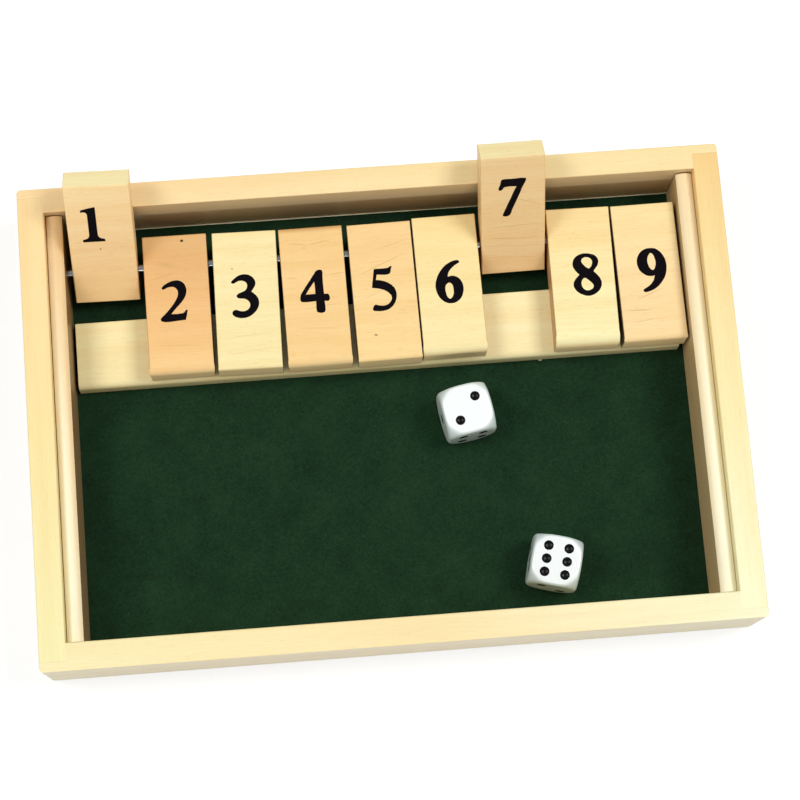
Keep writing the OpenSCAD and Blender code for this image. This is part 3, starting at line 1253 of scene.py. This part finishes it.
@dataclass(frozen=True)
class Tile:
    """One tile's own wood, from its nose to its rear, and where its numerals were stamped.

    Each numeral's place is across from the middle line and along from the nose, in millimetres.
    """

    number: int
    nose_tone: str
    middle_tone: str
    rear_tone: str
    upper: tuple[float, float] = (0.2, 23.2)
    under: tuple[float, float] = (-0.4, 15.1)
    wood: TileWood = TileWood.PLAIN
    marks: tuple[Mark, ...] = ()


@dataclass
class TileRow:
    """The nine hinged tiles, two of them standing.

    The gaps are from the left strip to the right one, as shares of their sum. The noses drift sideways in
    average gaps, and the bores lengthwise in millimetres. The tone ends run_out millimetres from a tile's
    nose and rear. The tones on a tile's nose and sides are painted light and shade. A standing tile has
    standing_nose_light, painted light, on its nose. A lying one has nose_tone there, painted light too,
    nose_contact_shadow, a painted contact shadow, where it looks along contact_shadow_way, forwards and down,
    and gap_side_shade, painted shade, on its long sides, or the lighter painted shade open_side_shade where
    the neighbour stands.
    """

    sizes: Sizes = SIZES
    standing: tuple[int, ...] = (1, 7)
    gap_shares: tuple[float, ...] = (1.6, 1.7, 1.4, 0.6, 1.2, 0.4, 1.1, 0.8, 0.4, 0.8)
    nose_drift: tuple[float, ...] = (0.6, 0, -0.5, 0.3, 0.5, 0.4, -0.4, -0.3, 0.3)
    bore_drift: tuple[float, ...] = (0.25, 0.25, -0.1, -0.2, -0.3, 0.6, -0.2, 0.15, 0)
    run_out: float = 4.0
    ink_lift: float = 0.02
    # Painted light: standing_nose_light brightens a standing tile's upturned nose, and nose_tone a lying
    # tile's nose face.
    standing_nose_light: str = "#FFF0B6"
    nose_tone: str = "#FFE4AE"
    # Painted shade: open_side_shade on a long side next to a standing tile, gap_side_shade on one in a narrow
    # gap.
    open_side_shade: str = "#BE8E62"
    gap_side_shade: str = "#4C3626"
    # Painted contact shadow: nose_contact_shadow on the lower nose, where its surface looks along
    # contact_shadow_way.
    nose_contact_shadow: str = "#5E4620"
    contact_shadow_way: tuple[float, float] = (0.9, 0.4)
    tiles: tuple[Tile, ...] = field(
        default_factory=lambda: (
            Tile(1, "#FFDEA4", "#FCD8A0", "#FAD395", under=(-2.14, 14.76),
                 marks=(Mark(-0.6, 24.0, 0.35, 0.5, strength=0.7),)),
            Tile(2, "#FBD090", "#F5C384", "#E8B97C", upper=(-1.0, 23.23), wood=TileWood.WARM,
                 marks=(
                     Mark(2.4, 43.2, 0.7, 0.6, strength=1.0, colour="#1E1006"),
                     Mark(-3.0, 35.5, 7.0, 1.6, turn=-14, strength=0.16, colour="#A9743C", soft=1.0),
                     Mark(-4.0, 31.8, 5.0, 0.2, turn=12, strength=0.3, colour="#B98248"),
                     Mark(0.0, 8.8, 9.0, 0.18, turn=-4, strength=0.2, colour="#B98248"),
                 )),
            Tile(3, "#FDEDB3", "#FDEDB4", "#FEEDB4", upper=(-0.46, 23.7), wood=TileWood.PALE,
                 marks=(
                     Mark(-4.3, 33.0, 0.4, 0.4, strength=0.6),
                     Mark(0.5, 10.9, 9.0, 0.18, turn=4, strength=0.25, colour="#C8A060"),
                     Mark(1.0, 5.8, 8.0, 0.18, turn=6, strength=0.22, colour="#C8A060"),
                 )),
            Tile(4, "#FCD999", "#FCD697", "#FBD494", upper=(0.11, 23.82), wood=TileWood.WARM,
                 marks=(
                     Mark(-4.6, 39.9, 4.2, 0.2, turn=-8, strength=0.4, colour="#C08A4C"),
                     Mark(2.6, 40.0, 4.8, 0.2, turn=10, strength=0.4, colour="#C08A4C"),
                     Mark(-7.0, 28.6, 2.6, 0.2, turn=-6, strength=0.35, colour="#C08A4C"),
                     Mark(7.2, 29.2, 3.0, 0.2, turn=5, strength=0.35, colour="#C08A4C"),
                     Mark(1.5, 18.8, 8.0, 0.2, turn=5, strength=0.32, colour="#C08A4C"),
                     Mark(0.0, 11.8, 9.0, 0.2, turn=-4, strength=0.26, colour="#C08A4C"),
                     # Painted shade: a darker band across the rear end, where the rounded edge turns away
                     # from the light.
                     Mark(0.0, 45.6, 40.0, 2.4, strength=0.9, colour="#C08E50", soft=0.9),
                 )),
            Tile(5, "#FEDE9F", "#FDDB9D", "#FCD79A", upper=(0.15, 23.02), wood=TileWood.WARM,
                 marks=(
                     Mark(-4.0, 8.3, 0.8, 0.35, turn=-10, strength=0.75, colour="#6B4524"),
                     Mark(0.0, 31.5, 10.4, 0.16, turn=22, strength=0.42, colour="#B98248"),
                     Mark(-4.0, 21.5, 6.0, 0.16, turn=22, strength=0.24, colour="#B98248"),
                     Mark(4.0, 37.8, 6.0, 0.16, turn=16, strength=0.3, colour="#C08A4C"),
                 )),
            Tile(6, "#FEECB2", "#FDE8AB", "#FDE3A4", upper=(0.28, 22.99), wood=TileWood.PALE),
            Tile(7, "#F3D29C", "#F0CD94", "#ECC78E", under=(-0.16, 15.55),
                 marks=(
                     Mark(4.0, 17.0, 7.0, 0.18, turn=20, strength=0.3, colour="#A87440"),
                     Mark(0.0, 26.5, 12.0, 0.2, turn=-2, strength=0.34, colour="#A87440"),
                     Mark(0.0, 31.4, 12.0, 0.2, turn=3, strength=0.34, colour="#A87440"),
                     Mark(0.0, 34.4, 12.0, 0.18, turn=3, strength=0.28, colour="#A87440"),
                     Mark(0.0, 38.9, 12.0, 0.18, turn=4, strength=0.24, colour="#A87440"),
                 )),
            Tile(8, "#FEF4BC", "#FDECB0", "#FDE1A4", upper=(1.55, 22.67), wood=TileWood.PALE),
            Tile(9, "#FDDEA6", "#FDE0A8", "#FDE4A9", upper=(1.18, 22.78),
                 marks=(
                     Mark(-4.4, 10.0, 4.8, 0.24, turn=-2, strength=0.42, colour="#B5793C"),
                     Mark(-0.8, 15.0, 5.6, 0.2, turn=20, strength=0.36, colour="#B5793C"),
                     Mark(-3.5, 6.4, 5.0, 0.2, turn=8, strength=0.24, colour="#B5793C"),
                 )),
        )
    )

    def tile_width(self) -> float:
        """Width of a tile."""
        return (2 * self.sizes.strip_in - len(self.gap_shares) * self.sizes.tile_gap) / len(self.tiles)

    def middle(self, number: int) -> float:
        """Gives where across the game a tile sits.

        Args:
            number: which tile.

        Returns:
            X of the middle of its square end, in millimetres.
        """
        s = self.sizes
        before = sum(self.gap_shares[:number]) / sum(self.gap_shares) * len(self.gap_shares) * s.tile_gap
        return -s.strip_in + before + (number - 0.5) * self.tile_width()

    def seat(self, number: int) -> Matrix:
        """Gives the place of a tile.

        Args:
            number: which tile.

        Returns:
            What takes a point of the tile to the game's frame, in millimetres: X is across from the
            tile's middle line, Y along from its nose and Z up from its underside.
        """
        s = self.sizes
        turn = math.asin(self.nose_drift[number - 1] * s.tile_gap / s.tile_l)
        rear = s.rod_y + s.bore_back + self.bore_drift[number - 1]
        flat = (
            Matrix.Translation((self.middle(number), rear, s.bar_z))
            @ Matrix.Rotation(turn, 4, "Z")
            @ Matrix.Translation((0.0, -s.tile_l, 0.0))
        )
        if number not in self.standing:
            return flat
        rod = Vector((0.0, s.rod_y, s.rod_z))
        swing = Matrix.Rotation(math.radians(-s.lean), 4, "X")
        return Matrix.Translation(rod) @ swing @ Matrix.Translation(-rod) @ flat

    def build(self) -> None:
        """Dresses the nine tiles and stamps a numeral on both faces of each."""
        ink = STAMP_INK.build()
        for tile in self.tiles:
            seat = self.seat(tile.number)
            seat.translation *= MM
            wood = Timber(
                f"Maple_tile_{tile.number}",
                tile.nose_tone,
                tile.middle_tone,
                tile.rear_tone,
                (self.run_out, self.sizes.tile_l - self.run_out),
                Drift.OVER_GRAIN,
                seed=20 + tile.number,
                figure=0.55,
                roughness=0.42,
                marks=tile.marks,
                sides=self._side_tones(tile, seat.to_3x3()),
            )
            dress(f"tile_{tile.number}", wood.build(board_frame(Grain.ACROSS) @ seat.inverted()))
            for side in Side:
                self._stamp(tile, side, ink)

    def _side_tones(self, tile: Tile, turn: Matrix) -> tuple[SideTone, ...]:
        """Gives the painted light and shade on a tile's nose and sides.

        Args:
            tile: the tile.
            turn: what turns its own axes into the game's.

        Returns:
            The nose's painted light, and for a lying tile also the painted shade of its long sides and the
            painted contact shadow under its nose.
        """
        across, along, up = turn.col
        stands = tile.number in self.standing
        # Painted light on the nose.
        tones = [SideTone((-along)[:], self.standing_nose_light if stands else self.nose_tone, start=0.8)]
        if stands:
            return tuple(tones)
        # Painted shade on the long sides, lighter where the neighbour stands.
        for step, way in ((1, across), (-1, -across)):
            is_open = tile.number + step in self.standing
            tones.append(SideTone(way[:], self.open_side_shade if is_open else self.gap_side_shade))
        # Painted contact shadow along the line under the nose.
        forwards, down = self.contact_shadow_way
        contact_shadow_dir = (-forwards * along - down * up).normalized()
        tones.append(SideTone(contact_shadow_dir[:], self.nose_contact_shadow, start=0.93))
        return tuple(tones)

    def _stamp(self, tile: Tile, side: Side, ink: bpy.types.Material) -> None:
        """Stamps a tile's numeral on one of its faces, its head away from a flat tile's nose.

        Args:
            tile: the tile.
            side: the face. The under one's numeral has its head to the nose, so that it is upright when the
                tile stands.
            ink: the ink.
        """
        mesh = NUMERALS[tile.number].flat_mesh(f"numeral_{tile.number}_{side.value}")
        if side is Side.UPPER:
            across, along = tile.upper
            place = Matrix.Translation((across, along, self.sizes.tile_t + self.ink_lift))
        else:
            across, along = tile.under
            place = Matrix.Translation((across, along, -self.ink_lift)) @ Matrix.Rotation(math.pi, 4, "X")
        mesh.transform(Matrix.Scale(MM, 4) @ self.seat(tile.number) @ place)
        mesh.materials.clear()
        mesh.materials.append(ink)
        piece = bpy.data.objects.new(mesh.name, mesh)
        bpy.context.scene.collection.objects.link(piece)
        settle(piece, f"tile_{tile.number}")


# ---------------------------------------------------------------- dice


class Toward(Enum):
    """The faces of a die by the way they look before it is turned, each with its axis and its own up."""

    TOP = ((0, 0, 1), (0, 1, 0))
    FRONT = ((0, -1, 0), (0, 0, 1))
    LEFT = ((-1, 0, 0), (0, 0, 1))
    BOTTOM = ((0, 0, -1), (0, 1, 0))
    BACK = ((0, 1, 0), (0, 0, 1))
    RIGHT = ((1, 0, 0), (0, 0, 1))


@dataclass(frozen=True)
class DieForm:
    """The round-cornered body of a die: a cube with rounded edges inside a ball, faired into each other.

    Sizes are in millimetres. Fairing is how near the two have to be to be blended, cells are those along
    a side of a face, crowding draws them together towards its edges, and halvings are those in the search
    for the surface.
    """

    size: float = 16.0
    edge_r: float = 0.9
    ball_d: float = 23.0
    fairing: float = 0.95
    cells: int = 44
    crowding: float = 0.32
    halvings: int = 26
    merge: float = 0.0005

    def depth(self, point: Vector) -> float:
        """Gives how far outside the body a point is.

        Args:
            point: the point, in millimetres from the die's middle.

        Returns:
            The distance in millimetres, nearly, and below 0 inside.
        """
        inner = self.size / 2 - self.edge_r
        over = [abs(c) - inner for c in point]
        cube = Vector([max(c, 0.0) for c in over]).length + min(max(over), 0.0) - self.edge_r
        ball = point.length - self.ball_d / 2
        share = max(self.fairing - abs(cube - ball), 0.0) / self.fairing
        return max(cube, ball) + share * share * self.fairing / 4

    def surface(self, way: Vector) -> Vector:
        """Finds the body's surface in one direction from its middle.

        Args:
            way: the direction, of any length.

        Returns:
            The point of the surface, in millimetres.
        """
        way = way.normalized()
        # One is well inside the body and one well outside.
        near, far = self.size * 0.4, self.ball_d
        for _ in range(self.halvings):
            half = (near + far) / 2
            if self.depth(way * half) > 0:
                far = half
            else:
                near = half
        return way * near

    def mesh(self, name: str, material: bpy.types.Material) -> bpy.types.Object:
        """Makes the body.

        Args:
            name: the piece's name.
            material: its plastic.

        Returns:
            The closed body about the origin, in millimetres.
        """
        steps = [2 * i / self.cells - 1 for i in range(self.cells + 1)]
        spread = [t * (1 + self.crowding - self.crowding * t * t) for t in steps]
        side = [[self.surface(Vector((a, b, 1.0))) for a in spread] for b in spread]
        turns = [Matrix.Rotation(math.radians(a), 3, "X") for a in (0, 90, 180, 270)]
        turns += [Matrix.Rotation(math.radians(a), 3, "Y") for a in (90, 270)]
        shell, known = bmesh.new(), {}
        for turn in turns:
            grid = []
            for row in side:
                grid.append([])
                for spot in row:
                    place = turn @ spot
                    # Adding 0 makes a place on either side of 0 the same.
                    key = tuple(round(c, 4) + 0.0 for c in place)
                    if key not in known:
                        known[key] = shell.verts.new(place)
                    grid[-1].append(known[key])
            for j in range(self.cells):
                for i in range(self.cells):
                    shell.faces.new((grid[j][i], grid[j][i + 1], grid[j + 1][i + 1], grid[j + 1][i]))
        bmesh.ops.remove_doubles(shell, verts=shell.verts, dist=self.merge)
        bmesh.ops.recalc_face_normals(shell, faces=shell.faces)
        mesh = bpy.data.meshes.new(name)
        shell.to_mesh(mesh)
        shell.free()
        mesh.materials.append(material)
        piece = bpy.data.objects.new(name, mesh)
        bpy.context.scene.collection.objects.link(piece)
        return piece


@dataclass
class Die:
    """A die with black enamel in its pips.

    Its place is in millimetres and its turn in degrees. The faces are the pips on top, in front and at
    the left before it is turned, and those on a face that is slanted back are on the other diagonal. A
    crease is the angle from which an edge is shaded sharp.
    """

    name: str
    x: float
    y: float
    turn: float
    faces: tuple[int, int, int]
    slanted_back: tuple[Toward, ...] = ()
    crease: float = 28.0
    sizes: Sizes = SIZES

    def pip_places(self, count: int) -> list[tuple[float, float]]:
        """Gives the places of the pips on a face.

        Args:
            count: the number of pips.

        Returns:
            Their places from the middle of the face, across and up, in millimetres.
        """
        a, r = self.sizes.pip_col, self.sizes.pip_row
        if count == 6:
            return [(x, y) for x in (-a, a) for y in (-r, 0, r)]
        places = [(0.0, 0.0)] if count % 2 else []
        if count > 1:
            places += [(a, a), (-a, -a)]
        if count > 3:
            places += [(a, -a), (-a, a)]
        return places

    def build(
        self, plastic: bpy.types.Material, enamel: bpy.types.Material, tree: bpy.types.NodeTree
    ) -> None:
        """Makes the die, with its pips sunk and painted.

        Args:
            plastic: the finish of the die.
            enamel: the paint in the pips.
            tree: the Geometry Nodes tree that puts a pip's hollow at each point.
        """
        s = self.sizes
        body = DieForm(size=s.die_s).mesh(f"{self.name}_body", plastic)
        hollows = self._hollows(enamel, tree)
        cut = body.modifiers.new("pips", "BOOLEAN")
        cut.object, cut.operation = hollows, "DIFFERENCE"
        cut.solver, cut.material_mode = "EXACT", "TRANSFER"
        bpy.context.view_layer.update()
        mesh = bpy.data.meshes.new_from_object(body.evaluated_get(bpy.context.evaluated_depsgraph_get()))
        body.modifiers.clear()
        body.data = mesh
        bpy.data.objects.remove(hollows)
        place = Matrix.Translation((self.x, self.y, s.felt_z + s.die_s / 2))
        mesh.transform(Matrix.Scale(MM, 4) @ place @ Matrix.Rotation(math.radians(self.turn), 4, "Z"))
        for face in mesh.polygons:
            face.use_smooth = True
        mesh.set_sharp_from_angle(angle=math.radians(self.crease))
        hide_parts(self.name)
        settle(body, self.name)

    def _hollows(self, enamel: bpy.types.Material, tree: bpy.types.NodeTree) -> bpy.types.Object:
        """Makes what is sunk into the die's six faces.

        Args:
            enamel: the paint in the pips.
            tree: the Geometry Nodes tree that puts a pip's hollow at each point.

        Returns:
            The hollows, in millimetres about the die's middle.
        """
        s = self.sizes
        points, normals = [], []
        counts = (*self.faces, *(7 - n for n in self.faces))
        for way, count in zip(Toward, counts):
            out, up = (Vector(v) for v in way.value)
            right = up.cross(out) * (-1 if way in self.slanted_back else 1)
            for across, high in self.pip_places(count):
                points.append(out * s.die_s / 2 + right * across + up * high)
                normals.append(out)
        hollows = mesh_piece(f"{self.name}_hollows", points, [], enamel)
        facing = hollows.data.attributes.new("facing", "FLOAT_VECTOR", "POINT")
        facing.data.foreach_set("vector", [c for n in normals for c in n])
        nodes = hollows.modifiers.new("pips", "NODES")
        nodes.node_group = tree
        rows = tree.interface.items_tree
        sockets = {row.name: row.identifier for row in rows if getattr(row, "in_out", "") == "INPUT"}
        nodes[sockets["Pip diameter"]] = s.pip_d
        nodes[sockets["Pip depth"]] = s.pip_depth
        nodes[sockets["Enamel"]] = enamel
        hollows.data.update()
        bpy.context.view_layer.update()
        evaluated = hollows.evaluated_get(bpy.context.evaluated_depsgraph_get())
        mesh = bpy.data.meshes.new_from_object(evaluated)
        hollows.modifiers.clear()
        hollows.data = mesh
        return hollows


# Half height of a pip's egg, in depths of the pip. Its middle is one depth above the die's face.
EGG_HALF_HEIGHT = 2.0


def pip_tree() -> bpy.types.NodeTree:
    """Builds the tree that puts a pip's hollow at each point of a mesh, sunk against its "facing" attribute.

    Each hollow is an upright egg that is as wide as the pip where it goes through the die's face.

    Returns:
        The tree, with its inputs Points, Pip diameter, Pip depth, Segments, Rings and Enamel, in
        millimetres.
    """
    tree = bpy.data.node_groups.new("Pip_hollows", "GeometryNodeTree")
    face = tree.interface
    face.new_socket("Points", in_out="INPUT", socket_type="NodeSocketGeometry")
    for name, kind, value in (
        ("Pip diameter", "NodeSocketFloat", 3.0),
        ("Pip depth", "NodeSocketFloat", 0.6),
        ("Segments", "NodeSocketInt", 32),
        ("Rings", "NodeSocketInt", 20),
    ):
        face.new_socket(name, in_out="INPUT", socket_type=kind).default_value = value
    face.new_socket("Enamel", in_out="INPUT", socket_type="NodeSocketMaterial")
    face.new_socket("Hollows", in_out="OUTPUT", socket_type="NodeSocketGeometry")
    given = add_node(tree, "NodeGroupInput").outputs
    ball = add_node(
        tree,
        "GeometryNodeMeshUVSphere",
        {"Segments": given["Segments"], "Rings": given["Rings"], "Radius": 1.0},
    ).outputs["Mesh"]
    width_at_face = math.sqrt(1 - 1 / EGG_HALF_HEIGHT**2)
    half_width, half_height = (
        result(add_node(tree, "ShaderNodeMath", {0: given[size], 1: factor}, operation="MULTIPLY"))
        for size, factor in (("Pip diameter", 0.5 / width_at_face), ("Pip depth", EGG_HALF_HEIGHT))
    )
    shape = add_node(tree, "ShaderNodeCombineXYZ", {"X": half_width, "Y": half_width, "Z": half_height})
    facing = add_node(
        tree, "GeometryNodeInputNamedAttribute", {"Name": "facing"}, data_type="FLOAT_VECTOR"
    )
    lift = add_node(
        tree, "ShaderNodeVectorMath", {0: result(facing), "Scale": given["Pip depth"]}, operation="SCALE"
    )
    raised = add_node(tree, "GeometryNodeSetPosition", {"Geometry": given["Points"], "Offset": result(lift)})
    turned = add_node(tree, "FunctionNodeAlignRotationToVector", {"Vector": result(facing)}, axis="Z")
    laid = add_node(
        tree,
        "GeometryNodeInstanceOnPoints",
        {"Points": result(raised), "Instance": ball, "Rotation": result(turned), "Scale": result(shape)},
    )
    real = add_node(tree, "GeometryNodeRealizeInstances", {"Geometry": result(laid)})
    painted = add_node(
        tree, "GeometryNodeSetMaterial", {"Geometry": result(real), "Material": given["Enamel"]}
    )
    add_node(tree, "NodeGroupOutput", {0: result(painted)})
    return tree


@dataclass
class DicePair:
    """The two dice, where they came to rest on the felt."""

    sizes: Sizes = SIZES

    def build(self) -> None:
        """Dresses both dice."""
        s = self.sizes
        plastic, enamel, tree = DiePlastic().build(), PIP_ENAMEL.build(), pip_tree()
        by_the_bar = Die(
            "die_1",
            x=s.strip_in - s.die_1_strip,
            y=s.bar_front - s.die_1_bar,
            turn=10.3,
            faces=(2, 4, 1),
        )
        by_the_rail = Die(
            "die_2",
            x=s.strip_in - s.die_2_strip,
            y=s.inner_front + s.die_2_rail,
            turn=-14.7,
            faces=(6, 2, 3),
            slanted_back=(Toward.FRONT,),
        )
        for die in (by_the_bar, by_the_rail):
            die.build(plastic, enamel, tree)


# ---------------------------------------------------------------- studio


@dataclass(frozen=True)
class Lamp:
    """A soft lamp that looks at the game.

    Its place, width and height are in metres. Its level is the share of full light that it gives at the
    game to a surface that faces it.
    """

    name: str
    place: tuple[float, float, float]
    width: float
    height: float
    level: float

    def hang(self) -> None:
        """Adds the lamp to the scene."""
        data = bpy.data.lights.new(self.name, "AREA")
        data.shape, data.size, data.size_y = "RECTANGLE", self.width, self.height
        reach = Vector(self.place)
        data.energy = self.level * math.pi**2 * reach.length_squared
        lamp = bpy.data.objects.new(self.name, data)
        lamp.location = reach
        lamp.rotation_euler = (-reach).to_track_quat("-Z", "Y").to_euler()
        bpy.context.scene.collection.objects.link(lamp)


@dataclass
class Studio:
    """A white room with a white sweep, a soft lamp at each side, a low card in front, and the camera above.

    The camera's place is in millimetres and its turn in degrees. Its focal length is in pixels of a
    square frame of frame_px. Where it is seen, the floor's own glow and the share of light that it keeps
    make it white with a shadow.
    """

    place: tuple[float, float, float] = (-29.09, -141.64, 724.16)
    turn: tuple[float, float, float] = (11.667, -1.778, -4.584)
    focal_px: float = 2265.9
    frame_px: int = 800
    lamps: tuple[Lamp, ...] = (
        Lamp("Softbox_right", (1.15, 0.2, 1.9), 0.8, 0.8, 0.42),
        Lamp("Softbox_left", (-1.15, 0.2, 1.9), 0.8, 0.8, 0.33),
        Lamp("Front_card", (-0.05, -1.7, 0.37), 1.2, 0.2, 0.22),
    )
    sky_level: float = 0.38
    sky_tint: tuple[float, float, float, float] = (0.96, 1.0, 1.01, 1.0)
    floor_size: float = 4.0
    floor_glow: float = 0.66
    floor_keep: float = 0.42

    def build(self) -> None:
        """Sets up the camera, the lamps, the world and the floor."""
        self._camera()
        for lamp in self.lamps:
            lamp.hang()
        self._sky()
        self._floor()
        bpy.context.scene.view_settings.view_transform = "Standard"

    def _camera(self) -> None:
        """Places the camera."""
        data = bpy.data.cameras.new("Camera")
        data.sensor_width = 36.0
        data.lens = self.focal_px / self.frame_px * data.sensor_width
        camera = bpy.data.objects.new("Camera", data)
        camera.location = Vector(self.place) * MM
        camera.rotation_euler = Euler([math.radians(a) for a in self.turn], "XYZ")
        bpy.context.scene.collection.objects.link(camera)
        bpy.context.scene.camera = camera

    def _seen_directly(self, tree: bpy.types.NodeTree) -> bpy.types.NodeSocket:
        """Tells the rays that see a surface from those that only light it.

        Args:
            tree: the material's tree.

        Returns:
            1 for rays from the camera, off gloss or through glass, and 0 for the rest.
        """
        path = add_node(tree, "ShaderNodeLightPath").outputs
        seen = path["Is Camera Ray"]
        for ray in ("Is Glossy Ray", "Is Transmission Ray"):
            seen = result(add_node(tree, "ShaderNodeMath", {0: seen, 1: path[ray]}, operation="MAXIMUM"))
        return seen

    def _sky(self) -> None:
        """Fills the room with even light, which looks white where it is seen."""
        world = bpy.data.worlds.new("Room")
        bpy.context.scene.world = world
        world.use_nodes = True
        tree = world.node_tree
        tree.nodes.clear()
        lit = add_node(tree, "ShaderNodeBackground", {"Color": self.sky_tint, "Strength": self.sky_level})
        seen = add_node(tree, "ShaderNodeBackground", {"Color": (1.0, 1.0, 1.0, 1.0), "Strength": 1.0})
        camera = add_node(tree, "ShaderNodeLightPath").outputs["Is Camera Ray"]
        mixed = add_node(tree, "ShaderNodeMixShader", {0: camera, 1: result(lit), 2: result(seen)})
        add_node(tree, "ShaderNodeOutputWorld", {"Surface": result(mixed)})

    def _floor(self) -> None:
        """Lays the white floor, which keeps the game's shadow."""
        material, tree, shader = blank_material("White_paper_sweep")
        shader.inputs["Roughness"].default_value = 1.0
        shader.inputs["Specular IOR Level"].default_value = 0.0
        shader.inputs["Emission Color"].default_value = (1.0, 1.0, 1.0, 1.0)
        seen = self._seen_directly(tree)
        paper = add_node(
            tree,
            "ShaderNodeMix",
            {0: seen, 6: linear("#F8F8F8"), 7: (*[self.floor_keep] * 3, 1.0)},
            data_type="RGBA",
        )
        glow = add_node(tree, "ShaderNodeMath", {0: seen, 1: self.floor_glow}, operation="MULTIPLY")
        tree.links.new(result(paper), shader.inputs["Base Color"])
        tree.links.new(result(glow), shader.inputs["Emission Strength"])
        h = self.floor_size / 2
        floor = mesh_piece(
            "floor", [(-h, -h, 0.0), (h, -h, 0.0), (h, h, 0.0), (-h, h, 0.0)], [(0, 1, 2, 3)], material
        )


def main() -> None:
    """Builds the studio and each part of the game in turn."""
    logging.basicConfig(level=logging.INFO, format="%(name)s: %(message)s")
    for part in (Studio(), Tray(), FeltSheet(), TileRow(), DicePair()):
        part.build()
        log.info("%s is done", type(part).__name__)


if __name__ == "__main__":
    main()
